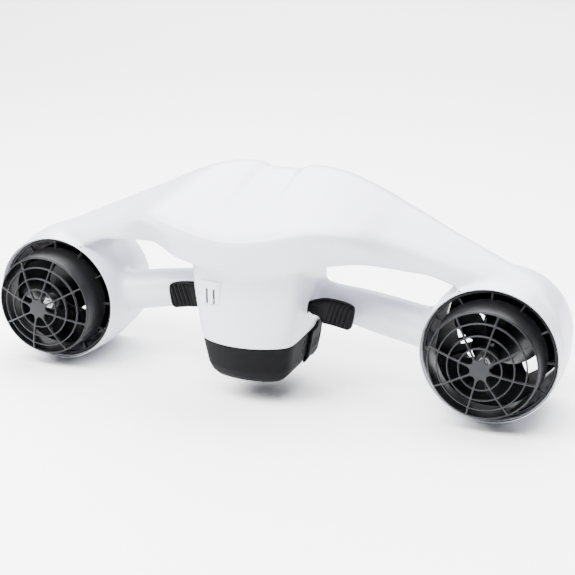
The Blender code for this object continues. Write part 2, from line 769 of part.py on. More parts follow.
def make_lever(name, side):
    pivot = pivot_at(f"lever_axis_{name}", (side * LEVER_PIN[0], LEVER_PIN[1], LEVER_Z))
    origin = pivot.location.copy()
    rings = []
    for x, y0, y1, z0, z1 in LEVER_SECTIONS:
        outline = rounded_rectangle(y0 * MM, y1 * MM, z0 * MM, z1 * MM, 0.0025)
        rings.append([(side * x * MM, y, z) for y, z in outline])
    lever = object_from(loft(rings), f"finger_lever_{name}", "black", origin)
    place = (side * LEVER_PIN[0], LEVER_PIN[1], 0)
    cut(lever, rod(LEVER_PIN_R + GAP, 0.070, 0.110, place, 12, "Z"))
    magnet_place = (side * 0.0368, 0, LEVER_Z)
    cut(lever, rod(0.0023, -0.020, 0.0, magnet_place, 10))
    magnet = rod(0.0020, -0.0088, -0.0034, magnet_place, 10)
    magnet = object_from(magnet, f"lever_magnet_{name}", "steel", origin)
    for piece in (lever, magnet):
        parented(piece, pivot)
    object_from(rod(LEVER_PIN_R, 0.0742, 0.1058, place, 12, "Z"), f"lever_pin_{name}", "steel")
    sensor = sided_box(side, (0.0350, -0.0165, EAR_BOTTOM[1] + GAP), (0.0400, -0.0125, 0.0925))
    object_from(sensor, f"lever_sensor_{name}", "charcoal")
    turns, sides, wire, coil = 3, 8, 0.0006, 0.0029
    points = []
    for i in range(sides * turns + 1):
        angle = math.tau * i / sides
        x, y = LEVER_PIN[0] + coil * math.cos(angle), LEVER_PIN[1] + coil * math.sin(angle)
        points.append(Vector((side * x, y, 0.0966 + 0.0046 * i / (sides * turns))))
    spring = cable(f"lever_spring_{name}", points, wire, "steel", 1)
    spring.data.bevel_resolution = 1


# Battery


def make_battery():
    cap = object_from(trunk_loft(CAP_LEVELS), "battery_cap", "charcoal")
    x, (y0, y1), (z0, z1) = CASE_X, CASE_Y, CASE_Z
    cut(cap, rounded_box(-x - GAP, x + GAP, y0 - GAP, y1 + GAP, z0 - GAP, 0.09))
    for side in SIDES.values():
        notch = (0.0315, LATCH_Y[0] - 0.0008, 0.0180), (0.0600, LATCH_Y[1] + 0.0008, 0.0340)
        cut(cap, sided_box(side, *notch))
        cut(cap, rod(LATCH_PIN_R + GAP, 0.0015, 0.0385, (side * LATCH_PIN_X, 0, LATCH_PIN_Z), 10))
    case = object_from(rounded_box(-x, x, y0, y1, z0, z1), "battery_case", "black")
    x, y0, y1 = x - CASE_WALL, y0 + CASE_WALL, y1 - CASE_WALL
    cut(case, rounded_box(-x, x, y0, y1, 0.020, z1 - 0.0025, 0.003))
    x, y0, y1 = x - 0.0008, y0 + 0.0008, y1 - 0.0008
    object_from(rounded_box(-x, x, y0, y1, z0 + GAP, 0.0990), "battery_cells", "cell")
    object_from(box((-0.024, -0.030, 0.1010), (0.024, 0.038, 0.1028)), "battery_board", "board")
    seal = rounded_box(-0.0360, 0.0360, -0.0435, 0.0490, 0.0590, 0.0600, 0.012)
    seal = object_from(seal, "battery_seal", "rubber")
    cut(seal, rounded_box(-0.0330, 0.0330, -0.0405, 0.0460, 0.05, 0.07, 0.009))
    contacts = box((-0.010, 0.002, z1 + GAP), (0.010, 0.020, 0.1145))
    contacts = object_from(contacts, "battery_contacts", "brass")
    for across in (-0.006, 0.006):
        join(contacts, box((across - 0.001, 0.005, 0.1140), (across + 0.001, 0.017, 0.1185)))
    make_bay()


def make_bay():
    """The tub that the battery slides into, with a flange against the trunk's wall, and its terminals."""
    x, (y0, y1) = BAY_X, BAY_Y
    lower = TRUNK_LEVELS[0]
    flange_levels = ((60.3, *lower[1:]), (62.8, *lower[1:]))
    bay = object_from(trunk_loft(flange_levels, WALL + 2 * GAP), "battery_bay", "black")
    join(bay, rounded_box(-x, x, y0, y1, 0.0610, BAY_TOP, 0.006))
    cut(bay, rounded_box(-x + 0.002, x - 0.002, y0 + 0.002, y1 - 0.002, 0.0500, BAY_TOP - 0.002, 0.005))
    cut(bay, box((-0.0125, -0.0005, 0.110), (0.0125, 0.0225, 0.130)))
    block = object_from(box((-0.0120, 0.0, 0.1152), (0.0120, 0.0220, 0.1240)), "terminal_block", "black")
    for across in (-0.006, 0.006):
        cut(block, box((across - 0.0016, 0.004, 0.1100), (across + 0.0016, 0.018, 0.1200)))


def make_latch(name, side):
    pivot = pivot_at(f"latch_axis_{name}", (side * LATCH_PIN_X, 0.020, LATCH_PIN_Z))
    origin = pivot.location.copy()
    rings = []
    near, far = LATCH_Y
    for z, inner, outer in LATCH_SECTIONS:
        corners = ((inner, near), (outer, near + 0.001), (outer, far - 0.001), (inner, far))
        rings.append([(side * x * MM, y, z * MM) for x, y in corners])
    latch = object_from(loft(rings), f"battery_latch_{name}", "charcoal", origin)
    join(latch, sided_box(side, (0.0330, 0.0120, 0.0256), (0.0380, 0.0280, 0.0306)))
    place = (side * LATCH_PIN_X, 0, LATCH_PIN_Z)
    cut(latch, rod(LATCH_PIN_R + GAP, 0.0, 0.04, place, 10))
    parented(latch, pivot)
    object_from(rod(LATCH_PIN_R, 0.0020, 0.0380, place, 10), f"latch_pin_{name}", "steel")


# Electronics


def make_electronics():
    x, (y0, y1), (z0, z1) = BOX_X, BOX_Y, BOX_Z
    tray = object_from(rounded_box(-x, x, y0, y1, z0, z1), "control_box", "black")
    cut(tray, rounded_box(-x + 0.002, x - 0.002, y0 + 0.002, y1 - 0.002, z0 + 0.002, z1 + 0.01, 0.003))
    board = box((-0.040, y0 + 0.005, z0 + 0.006), (0.040, y1 - 0.005, z0 + 0.0076))
    object_from(board, "control_board", "board")


def main():
    clear_scene()
    make_wing()
    make_trunk()
    make_vent_panel()
    make_battery()
    make_electronics()
    for name, side in SIDES.items():
        make_grip(name, side)
        make_duct(name, side)
        make_guards(name, side)
        make_motor(name, side)
        make_propeller(name, side)
        make_motor_cable(name, side)
        make_lever(name, side)
        make_latch(name, side)


main()
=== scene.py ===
"""Looks of the twin-thruster underwater scooter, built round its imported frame.

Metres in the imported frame: +X right, +Y towards the user, +Z up, x = 0 the plane of symmetry. Shapes that
the two sides share are made for the right side and mirrored.
"""

import json
import math

import bmesh
import bpy
import numpy as np
from mathutils import Matrix, Vector


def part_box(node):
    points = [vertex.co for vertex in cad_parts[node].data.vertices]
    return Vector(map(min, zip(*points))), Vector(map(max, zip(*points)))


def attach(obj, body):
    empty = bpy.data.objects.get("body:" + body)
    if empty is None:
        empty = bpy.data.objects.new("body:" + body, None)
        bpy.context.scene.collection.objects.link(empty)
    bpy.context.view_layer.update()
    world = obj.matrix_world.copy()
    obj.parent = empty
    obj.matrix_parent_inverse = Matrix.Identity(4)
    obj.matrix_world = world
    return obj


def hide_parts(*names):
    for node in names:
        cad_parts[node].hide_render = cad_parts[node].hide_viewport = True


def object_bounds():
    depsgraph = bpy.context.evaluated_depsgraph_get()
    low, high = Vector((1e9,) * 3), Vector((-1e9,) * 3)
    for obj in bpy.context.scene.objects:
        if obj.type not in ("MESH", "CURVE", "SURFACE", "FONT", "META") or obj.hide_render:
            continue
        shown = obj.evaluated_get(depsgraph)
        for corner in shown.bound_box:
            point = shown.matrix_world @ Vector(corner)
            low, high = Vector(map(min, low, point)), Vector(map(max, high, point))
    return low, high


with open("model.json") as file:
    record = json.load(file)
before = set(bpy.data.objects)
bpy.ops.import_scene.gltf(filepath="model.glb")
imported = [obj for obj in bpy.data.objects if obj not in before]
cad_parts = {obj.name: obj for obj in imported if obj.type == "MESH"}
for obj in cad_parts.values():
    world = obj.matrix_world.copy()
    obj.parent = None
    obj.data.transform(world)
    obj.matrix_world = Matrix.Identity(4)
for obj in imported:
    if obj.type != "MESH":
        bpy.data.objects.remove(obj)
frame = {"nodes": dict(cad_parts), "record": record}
CAD_BOX = [list(corner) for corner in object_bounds()]

MM = 0.001
SIDES = {"right": 1, "left": -1}

# Places and sizes that follow the frame
duct_low, duct_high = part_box("duct_shell_right")
AXIS_X = (duct_low.x + duct_high.x) / 2
AXIS_Z = (duct_low.z + duct_high.z) / 2
FACE_Y = duct_low.y + 0.010  # the front of the guards' flanges, 10 mm behind the CAD ducts' front lips

# The body skin
GRID = 0.0018
SKIN_WALL = 0.0018

# Wing stations, in millimetres: x, then (y, z) of the front edge, the crest, the rear nose, the tail
# and the chin
WING_STATIONS = (
    (0, (-89.6, 164), (62, 209), (86, 189), (82, 124), (-54, 121)),
    (30, (-89.6, 168), (64, 209), (86, 190), (82, 128), (-58, 128)),
    (46, (-88, 172), (65, 209), (86, 190), (82, 133), (-60, 132)),
    (60, (-84, 175), (65, 207), (86, 187), (82, 137), (-60, 136)),
    (80, (-76, 175), (66, 200), (86, 180), (81, 139), (-44, 138)),
    (100, (-62, 170), (66, 191.5), (86, 171.5), (78, 137), (-24, 136)),
    (120, (-36, 161), (64, 182.5), (82, 163.5), (75, 134), (-14, 133)),
    (140, (-20, 154), (60, 174.5), (78, 155.5), (71, 132), (-12, 131)),
    (160, (-13, 147), (57, 165.5), (74, 147.5), (68, 129), (-10, 129)),
    (180, (-8, 139), (53, 157.5), (71, 139.5), (67, 122), (-8, 122)),
    (200, (-2, 132), (50, 149.5), (68, 131.5), (65, 112), (-3, 112)),
    (220, (4, 125), (48, 142), (64, 124), (62, 104), (2, 104)),
    (244, (8, 119), (45, 134), (62, 116), (59, 92), (4, 92)),
    (280, (8, 110), (42, 124), (60, 106), (58, 74), (4, 74)),
)
EDGE_BLEND, CREST_BLEND, REAR_BLEND, TAIL_BLEND, CHIN_BLEND = 0.022, 0.042, 0.030, 0.014, 0.007
# Past its tangent point, the arm's outline wraps down over the duct on a circle
TIP_CENTRE = (AXIS_X + 0.0045, AXIS_Z + 0.0113)
TIP_R, TIP_SLOPE, TIP_OPEN, TIP_BLEND = 0.055, math.radians(-18.5), 2.5, 0.005

# Ridges beside the shallow valley of the deck
VALLEY_DROP, RIDGE_RISE = 0.0022, 0.0012
VALLEY_EDGE, RIDGE_TOP, RIDGE_END = 0.0150, 0.0265, 0.0600
VALLEY_FRONT, VALLEY_REAR = -0.060, 0.030

# Trunk and cap levels, in millimetres: z, half width, front y, rear y, radius of the front's bow
TRUNK_LEVELS = (
    (59, 44, -59, 62.5, 66),
    (75, 46.5, -57.7, 62.5, 90),
    (90, 48.7, -56.3, 62.5, 118),
    (109, 51.5, -54.5, 62.5, 190),
    (150, 57, -51, 62.5, 400),
)
CAP_LEVELS = (
    (18, 22, -34, 38, 66),
    (20, 27.5, -39.5, 43.5, 66),
    (22.5, 32.5, -44.5, 48, 66),
    (27, 37, -49, 52.5, 66),
    (34, 40, -53, 56, 66),
    (58.7, 44, -59, 62.5, 66),
)
REAR_BOW = 0.066
CORNER_BLEND = 0.012
TRUNK_BOTTOM = 0.0590

GRIP_Y, GRIP_Z = 0.027, 0.077
GRIP_TILT, GRIP_TURN_X = math.radians(10.5), 0.107
GRIP_SHAPE = (  # distance along the grip, and radius
    (0.030, 0.0152), (0.062, 0.0152), (0.090, 0.0178), (0.115, 0.0188), (0.145, 0.0192),
    (0.175, 0.0215),
)
GRIP_START = 0.030  # x of its end in the trunk

DUCT_OUTSIDE = (  # distance behind the flange's face, and radius
    (-0.0062, 0.0609), (-0.0056, 0.0616), (-0.0040, 0.0618), (0.0, 0.0622), (0.0120, 0.0631),
    (0.0280, 0.0637), (0.0500, 0.0630), (0.0740, 0.0603), (0.0800, 0.0594), (0.0830, 0.0584),
)
SKIN_FRONT, SKIN_REAR = -0.0030, 0.0760  # the skin covers the duct between these; the lips are turned rings
DUCT_MIDDLE, DUCT_HALF = 0.0365, 0.0460  # distance behind the flange's face, and half length
TRUNK_TOP = 0.150  # inside the wing
DUCT_GRIP_BLEND, DUCT_WING_BLEND, OUTER_TRUNK_BLEND = 0.012, 0.008, 0.004
WING_TRUNK_BLEND, TRUNK_GRIP_BLEND = 0.008, 0.010


def smooth_max(a, b, blend):
    """The larger of two fields, rounded where they cross so that curvature has no step."""
    near = np.maximum(blend - np.abs(a - b), 0) / blend
    return np.maximum(a, b) + near**3 * blend / 6


def smooth_min(a, b, blend):
    return -smooth_max(-a, -b, blend)


def smooth_step(low, high, value):
    share = np.clip((value - low) / (high - low), 0, 1)
    return share * share * (3 - 2 * share)


def through(xs, values, x):
    """Values at x on a smooth curve through the table's rows, even about x = 0."""
    xs = np.asarray(xs, float)
    values = np.asarray(values, float)
    slopes = np.gradient(values, xs, axis=0)
    slopes[0] = 0
    row = np.clip(np.searchsorted(xs, x, side="right") - 1, 0, len(xs) - 2)
    span = xs[row + 1] - xs[row]
    t = np.clip((x - xs[row]) / span, 0, 1)[..., None]
    span = span[..., None]
    return (
        (2 * t**3 - 3 * t**2 + 1) * values[row]
        + (t**3 - 2 * t**2 + t) * span * slopes[row]
        + (3 * t**2 - 2 * t**3) * values[row + 1]
        + (t**3 - t**2) * span * slopes[row + 1]
    )


TABLE_X = np.arange(0, 0.2805, 0.0005)


def wing_table():
    """For each face of the wing's section, its outward normal, offset and first corner at every TABLE_X."""
    xs = [row[0] * MM for row in WING_STATIONS]
    flat = [[value * MM for corner in row[1:] for value in corner] for row in WING_STATIONS]
    corners = through(xs, flat, TABLE_X).reshape(len(TABLE_X), 5, 2)
    along = np.roll(corners, -1, axis=1) - corners
    along /= np.linalg.norm(along, axis=2, keepdims=True)
    normals = np.stack([-along[..., 1], along[..., 0]], axis=2)
    offsets = (normals * corners).sum(axis=2)
    return normals, offsets, corners


WING_NORMALS, WING_OFFSETS, WING_CORNERS = wing_table()


def looked_up(column, x):
    return np.interp(x, TABLE_X, column)


def deck_relief(x, y):
    """How far the deck stands above its plain section: a shallow valley between two soft ridges."""
    fade = smooth_step(VALLEY_FRONT, VALLEY_REAR, y)
    up = smooth_step(VALLEY_EDGE, RIDGE_TOP, x)
    down = smooth_step(RIDGE_TOP, RIDGE_END, x)
    return fade * ((VALLEY_DROP + RIDGE_RISE) * up - RIDGE_RISE * down - VALLEY_DROP)


def wing_field(x, y, z):
    faces = []
    for i in range(5):
        ny = looked_up(WING_NORMALS[:, i, 0], x)
        nz = looked_up(WING_NORMALS[:, i, 1], x)
        faces.append(ny * y + nz * z - looked_up(WING_OFFSETS[:, i], x))
    top, back, rear, under, chin = faces
    relief = deck_relief(x, y)
    upper = smooth_max(smooth_max(top - relief, back - relief, CREST_BLEND), rear, REAR_BLEND)
    lower = smooth_max(under, chin, CHIN_BLEND)
    corner = EDGE_BLEND + (TAIL_BLEND - EDGE_BLEND) * smooth_step(-0.02, 0.05, y)
    return smooth_max(smooth_max(upper, lower, corner), tip_field(x, z), TIP_BLEND)


def tip_field(x, z):
    """A gently opening curve up to the tangent point, then the circle."""
    across, up = x - TIP_CENTRE[0], z - TIP_CENTRE[1]
    along = across * math.cos(TIP_SLOPE) + up * math.sin(TIP_SLOPE)
    out = up * math.cos(TIP_SLOPE) - across * math.sin(TIP_SLOPE)
    return np.where(along < 0, out - TIP_OPEN * along**2, np.hypot(across, up)) - TIP_R


def duct_field(x, y, z):
    along = [at for at, _ in DUCT_OUTSIDE]
    radii = [radius for _, radius in DUCT_OUTSIDE]
    radius = np.interp(y - FACE_Y, along, radii)
    return np.hypot(x - AXIS_X, z - AXIS_Z) - radius


def levelled(levels, x, y, z):
    """A column with flat sides and bowed ends that follows a table of levels."""
    heights = [row[0] * MM for row in levels]
    half, front, rear, bow = (np.interp(z, heights, [row[i] * MM for row in levels]) for i in range(1, 5))
    near = np.hypot(x, y - front - bow) - bow
    far = np.hypot(x, y - rear + REAR_BOW) - REAR_BOW
    return smooth_max(smooth_max(x - half, near, CORNER_BLEND), far, CORNER_BLEND)


def trunk_field(x, y, z):
    return levelled(TRUNK_LEVELS, x, y, z)


def grip_field(x, y, z):
    across, up = x - GRIP_TURN_X, z - GRIP_Z
    along = GRIP_TURN_X + across * math.cos(GRIP_TILT) - up * math.sin(GRIP_TILT)
    lift = across * math.sin(GRIP_TILT) + up * math.cos(GRIP_TILT)
    radius = np.interp(along, [at for at, _ in GRIP_SHAPE], [r for _, r in GRIP_SHAPE])
    inside = np.hypot(y - GRIP_Y, lift) - radius
    return np.maximum(inside, GRIP_START - x)


FIELDS = {"wing": wing_field, "duct": duct_field, "trunk": trunk_field, "grip": grip_field}


def body_field(x, y, z):
    x = np.abs(x)
    wing = wing_field(x, y, z)
    trunk = np.maximum(trunk_field(x, y, z), z - TRUNK_TOP)
    duct = np.maximum(duct_field(x, y, z), np.abs(y - FACE_Y - DUCT_MIDDLE) - DUCT_HALF)
    grip = np.maximum(grip_field(x, y, z), x - AXIS_X)
    centre = smooth_min(wing, trunk, WING_TRUNK_BLEND)
    outer = smooth_min(smooth_min(duct, grip, DUCT_GRIP_BLEND), wing, DUCT_WING_BLEND)
    centre = smooth_min(centre, grip, TRUNK_GRIP_BLEND)
    return np.minimum(centre, smooth_min(outer, trunk, OUTER_TRUNK_BLEND))


def gradient(field, points, reach=0.0002):
    result = np.empty_like(points)
    for i in range(3):
        step = np.zeros(3)
        step[i] = reach
        result[:, i] = (field(*(points + step).T) - field(*(points - step).T)) / (2 * reach)
    return result


def onto(field, points, rounds=3):
    """Moves points onto the field's zero surface."""
    for _ in range(rounds):
        slope = gradient(field, points)
        value = field(*points.T)
        points = points - slope * (value / np.maximum((slope**2).sum(axis=1), 1e-6))[:, None]
    return points


def surface_net(field, low, high, step):
    """A mesh of four-sided faces on the zero surface of a field, from a grid of samples."""
    axes = [np.arange(a, b + step, step) for a, b in zip(low, high)]
    values = np.empty([len(axis) for axis in axes], np.float32)
    yy, zz = np.meshgrid(axes[1], axes[2], indexing="ij")
    for i, x in enumerate(axes[0]):
        values[i] = field(np.full_like(yy, x), yy, zz)
    inside = values < 0
    shape = [len(axis) - 1 for axis in axes]
    corners = [(i, j, k) for i in (0, 1) for j in (0, 1) for k in (0, 1)]
    view = lambda array, c: array[c[0]:c[0] + shape[0], c[1]:c[1] + shape[1], c[2]:c[2] + shape[2]]
    count = sum(view(inside, c).astype(np.int8) for c in corners)
    cells = np.argwhere((count > 0) & (count < 8))
    total = np.zeros((len(cells), 3))
    crossings = np.zeros(len(cells))
    for axis in range(3):
        for a in corners:
            if a[axis]:
                continue
            b = tuple(1 if i == axis else a[i] for i in range(3))
            at_a = values[tuple((cells + a).T)]
            at_b = values[tuple((cells + b).T)]
            crossed = (at_a < 0) != (at_b < 0)
            share = np.where(crossed, at_a / np.where(crossed, at_a - at_b, 1), 0)
            place = np.array(a, float) + share[:, None] * (np.array(b) - np.array(a))
            total += np.where(crossed[:, None], place, 0)
            crossings += crossed
    points = np.array([axis[0] for axis in axes]) + (cells + total / crossings[:, None]) * step
    index = np.full(shape, -1, np.int64)
    index[tuple(cells.T)] = np.arange(len(cells))
    faces = []
    for axis in range(3):
        b, c = (axis + 1) % 3, (axis + 2) % 3
        here = [slice(1, -1)] * 3
        here[axis] = slice(0, -1)
        ahead = list(here)
        ahead[axis] = slice(1, None)
        first, second = inside[tuple(here)], inside[tuple(ahead)]
        at = np.argwhere(first != second)
        start = at + np.array([0 if i == axis else 1 for i in range(3)])
        quad = []
        for db, dc in ((0, 0), (-1, 0), (-1, -1), (0, -1)):
            cell = start.copy()
            cell[:, b] += db
            cell[:, c] += dc
            quad.append(index[tuple(cell.T)])
        quad = np.stack(quad, axis=1)
        outward = first[tuple(at.T)]
        quad[~outward] = quad[~outward][:, ::-1]
        faces.append(quad)
    faces = np.concatenate(faces)
    return points, faces[(faces >= 0).all(axis=1)]


def relaxed(field, points, faces, rounds, middle):
    """Evens out the mesh along the surface. Points on the plane of symmetry stay on it."""
    edges = np.concatenate([faces[:, [i, (i + 1) % 4]] for i in range(4)])
    for _ in range(rounds):
        total = np.zeros_like(points)
        count = np.zeros(len(points))
        for a, b in ((0, 1), (1, 0)):
            np.add.at(total, edges[:, a], points[edges[:, b]])
            np.add.at(count, edges[:, a], 1)
        mean = total / np.maximum(count, 1)[:, None]
        mean[middle, 0] = 0
        points = onto(field, 0.5 * points + 0.5 * mean, 1)
        points[middle, 0] = 0
    return points


def chin_height(x, y):
    """The surface that parts the upper and lower shells: along the chin in front, above the tail behind."""
    chin_y, chin_z = (looked_up(WING_CORNERS[:, 4, i], x) for i in (0, 1))
    tail_y, tail_z = (looked_up(WING_CORNERS[:, 3, i], x) for i in (0, 1))
    share = np.clip((y - chin_y) / (tail_y - chin_y), 0, 1)
    return chin_z + 0.0006 + share * (tail_z + 0.006 - chin_z)


SLOT_Y, SLOT_HALF_Y = -0.0060, 0.0058
SLOT_Z, SLOT_HALF_Z = 0.0873, 0.0062
SLOT_CORNER = 0.004


def slot_field(y, z):
    """Negative inside the opening for a finger lever."""
    return smooth_max(np.abs(y - SLOT_Y) - SLOT_HALF_Y, np.abs(z - SLOT_Z) - SLOT_HALF_Z, SLOT_CORNER)


def regions(points):
    """For each region of the skin, a field that is positive where the region is the outermost."""
    x, y, z = np.abs(points[:, 0]), points[:, 1], points[:, 2]
    wing, duct, trunk, grip = (field(x, y, z) for field in FIELDS.values())
    above = z - chin_height(x, y)
    upper = np.minimum(np.minimum(duct, np.minimum(trunk, grip)) - wing, above)
    lower = np.minimum(np.minimum(duct, np.minimum(trunk, grip)) - wing, -above)
    duct_on = np.minimum(np.minimum(wing, np.minimum(trunk, grip)) - duct,
                         np.minimum(y - FACE_Y - SKIN_FRONT, SKIN_REAR - y + FACE_Y))
    trunk_on = np.minimum(np.minimum(wing, np.minimum(duct, grip)) - trunk,
                          np.minimum(z - TRUNK_BOTTOM, slot_field(y, z)))
    grip_on = np.minimum(wing, np.minimum(duct, trunk)) - grip
    return np.stack([upper, lower, duct_on, trunk_on, grip_on])


UPPER, LOWER, DUCT, TRUNK, GRIP = range(5)  # rows of regions()


def body_skin():
    """The right half's points, outward normals and faces, with the faces' regions."""
    low = (-GRID / 2, CAD_BOX[0][1] - 0.006, -0.004)
    high = (CAD_BOX[1][0] + 0.004, CAD_BOX[1][1] + 0.006, CAD_BOX[1][2] + 0.004)
    points, faces = surface_net(body_field, low, high, GRID)
    middle = points[:, 0] < GRID * 0.49
    points = onto(body_field, points)
    points[middle, 0] = 0
    points = relaxed(body_field, points, faces, 4, middle)
    centres = points[faces].mean(axis=1)
    scores = regions(centres)
    region = np.where(scores.max(axis=0) > 0, scores.argmax(axis=0), -1)
    # Boundary points move onto the line where their two regions meet
    for _ in range(4):
        for i in range(len(scores)):
            touched = np.zeros(len(points), bool)
            touched[faces[region == i]] = True
            outside = np.zeros(len(points), bool)
            outside[faces[region != i]] = True
            edge = touched & outside
            place = points[edge]
            score = lambda x, y, z: regions(np.stack([x, y, z], axis=1))[i]
            slope = gradient(score, place)
            normal = gradient(body_field, place)
            normal /= np.linalg.norm(normal, axis=1)[:, None]
            slope -= normal * (slope * normal).sum(axis=1)[:, None]
            size = np.maximum((slope**2).sum(axis=1), 0.05)
            move = -slope * (score(*place.T) / size)[:, None]
            length = np.linalg.norm(move, axis=1)
            move *= np.minimum(1, 0.4 * GRID / np.maximum(length, 1e-9))[:, None]
            points[edge] = onto(body_field, place + move, 1)
        points[middle, 0] = 0
    normals = gradient(body_field, points)
    normals[middle, 0] = 0
    normals /= np.linalg.norm(normals, axis=1)[:, None]
    return points, normals, faces, region


def shell_mesh(name, points, normals, faces, wall):
    """A closed shell: the faces, a copy of them moved inwards, and walls along their free edges."""
    used = np.unique(faces)
    place = np.full(len(points), -1)
    place[used] = np.arange(len(used))
    outer = place[faces]
    count = len(used)
    verts = np.concatenate([points[used], points[used] - normals[used] * wall])
    edges = np.concatenate([outer[:, [i, (i + 1) % 4]] for i in range(4)])
    keys = edges[:, 0] * count + edges[:, 1]
    reverse = edges[:, 1] * count + edges[:, 0]
    free = edges[~np.isin(keys, reverse)]
    walls = np.stack([free[:, 1], free[:, 0], free[:, 0] + count, free[:, 1] + count], axis=1)
    everything = np.concatenate([outer, outer[:, ::-1] + count, walls])
    mesh = bpy.data.meshes.new(name)
    mesh.vertices.add(len(verts))
    mesh.vertices.foreach_set("co", verts.astype(np.float32).ravel())
    mesh.loops.add(everything.size)
    mesh.loops.foreach_set("vertex_index", everything.astype(np.int32).ravel())
    mesh.polygons.add(len(everything))
    mesh.polygons.foreach_set("loop_start", np.arange(0, everything.size, 4, dtype=np.int32))
    mesh.update(calc_edges=True)
    mesh.polygons.foreach_set("use_smooth", np.ones(len(everything), bool))
    across = np.cross(verts[walls[:, 2]] - verts[walls[:, 0]], verts[walls[:, 3]] - verts[walls[:, 1]])
    across /= np.maximum(np.linalg.norm(across, axis=1), 1e-12)[:, None]
    inner = -normals[used]
    corner_normals = np.concatenate([
        normals[used][outer].reshape(-1, 3),
        inner[outer[:, ::-1]].reshape(-1, 3),
        np.repeat(across, 4, axis=0),
    ])
    mesh.normals_split_custom_set(corner_normals.astype(np.float32))
    return mesh


def added(name, mesh, material, body, slot, *nodes):
    """Adds a piece that rides on a body, takes the given material and stands for CAD nodes, which it hides.
    The slot is not used.
    """
    piece = bpy.data.objects.new(name, mesh)
    bpy.context.scene.collection.objects.link(piece)
    mesh.materials.append(material)
    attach(piece, body)
    if nodes:
        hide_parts(*nodes)
    return piece


def make_body_skin(material):
    points, normals, faces, region = body_skin()
    middle = points[:, 0] == 0
    mirrored = points * (-1, 1, 1)
    mirrored_normals = normals * (-1, 1, 1)
    other = np.where(middle, np.arange(len(points)), np.arange(len(points)) + len(points))
    both_points = np.concatenate([points, mirrored])
    both_normals = np.concatenate([normals, mirrored_normals])
    both_faces = np.concatenate([faces, other[faces][:, ::-1]])
    across, out, up = on_vent(*mirrored[faces].mean(axis=1).T)
    behind_vent = np.abs(across - WELL_ACROSS) < WELL_HALF_WIDTH
    behind_vent &= (np.abs(up - WELL_UP) < WELL_HALF_HEIGHT + 0.0002) & (np.abs(out) < 0.010)
    both_region = np.concatenate([region, np.where(behind_vent, -1, region)])
    for name, node, index in (("upper_skin", "upper_shell", UPPER), ("lower_skin", "lower_shell", LOWER),
                              ("trunk_skin", "trunk_housing", TRUNK)):
        mesh = shell_mesh(name, both_points, both_normals, both_faces[both_region == index], SKIN_WALL)
        added(name, mesh, material, "hull", "white_shell", node)
    for side, sign in SIDES.items():
        for name, node, index in (("duct_skin", "duct_shell", DUCT), ("grip_skin", "grip", GRIP)):
            own = faces[region == index]
            if sign < 0:
                mesh = shell_mesh(f"{name}_{side}", mirrored, mirrored_normals, own[:, ::-1], SKIN_WALL)
            else:
                mesh = shell_mesh(f"{name}_{side}", points, normals, own, SKIN_WALL)
            added(f"{name}_{side}", mesh, material, "hull", "white_shell", f"{node}_{side}")


# Small shapes


def net_mesh(name, field, low, high, step, rounds=2):
    """A closed mesh on a field's zero surface inside the box, with the field's own normals."""
    points, faces = surface_net(field, low, high, step)
    nowhere = np.zeros(len(points), bool)
    points = relaxed(field, onto(field, points, 2), faces, rounds, nowhere)
    mesh = bpy.data.meshes.new(name)
    mesh.from_pydata(points.tolist(), [], faces.tolist())
    mesh.shade_smooth()
    normals = gradient(field, points, step / 6)
    normals /= np.maximum(np.linalg.norm(normals, axis=1), 1e-9)[:, None]
    mesh.normals_split_custom_set_from_vertices(normals.astype(np.float32))
    return mesh


def curved(points, rounds=2):
    """A closed outline through the points, made smooth by cutting each side where a curve would pass."""
    points = np.asarray(points, float)
    for _ in range(rounds):
        before, after = np.roll(points, 1, axis=0), np.roll(points, -1, axis=0)
        beyond = np.roll(points, -2, axis=0)
        middle = (9 * (points + after) - before - beyond) / 16
        points = np.stack([points, middle], axis=1).reshape(-1, 2)
    return points


def outline_field(outline, a, b):
    """Signed distance from a closed outline in a plane, negative inside."""
    nearest = np.full(a.shape, np.inf)
    inside = np.zeros(a.shape, bool)
    for (a0, b0), (a1, b1) in zip(outline, np.roll(outline, -1, axis=0)):
        da, db = a1 - a0, b1 - b0
        share = np.clip(((a - a0) * da + (b - b0) * db) / (da * da + db * db), 0, 1)
        nearest = np.minimum(nearest, np.hypot(a - a0 - share * da, b - b0 - share * db))
        crosses = (b0 > b) != (b1 > b)
        if db:
            inside ^= crosses & (a < a0 + (b - b0) * da / db)
    return np.where(inside, -nearest, nearest)


def spin_about_thruster(bm, geometry, segments):
    bmesh.ops.spin(
        bm, geom=geometry, cent=(0, 0, 0), axis=(0, 1, 0), steps=segments, angle=math.tau, use_merge=True
    )
    bmesh.ops.remove_doubles(bm, verts=bm.verts, dist=1e-6)
    bmesh.ops.recalc_face_normals(bm, faces=bm.faces)
    bmesh.ops.translate(bm, vec=(AXIS_X, FACE_Y, AXIS_Z), verts=bm.verts)


def finished_mesh(bm, name, angle):
    mesh = bpy.data.meshes.new(name)
    bm.to_mesh(mesh)
    bm.free()
    mesh.shade_smooth()
    mesh.set_sharp_from_angle(angle=math.radians(angle))
    return mesh


def turned_mesh(name, profile, angle=30, segments=96):
    """A profile of (radius, distance behind the flange face) turned about the right thruster's axis."""
    bm = bmesh.new()
    verts = [bm.verts.new((radius, along, 0)) for radius, along in profile]
    edges = [bm.edges.new(pair) for pair in zip(verts, verts[1:])]
    if min(radius for radius, _ in profile) > 0:
        edges.append(bm.edges.new((verts[-1], verts[0])))
    spin_about_thruster(bm, verts + edges, segments)
    return finished_mesh(bm, name, angle)


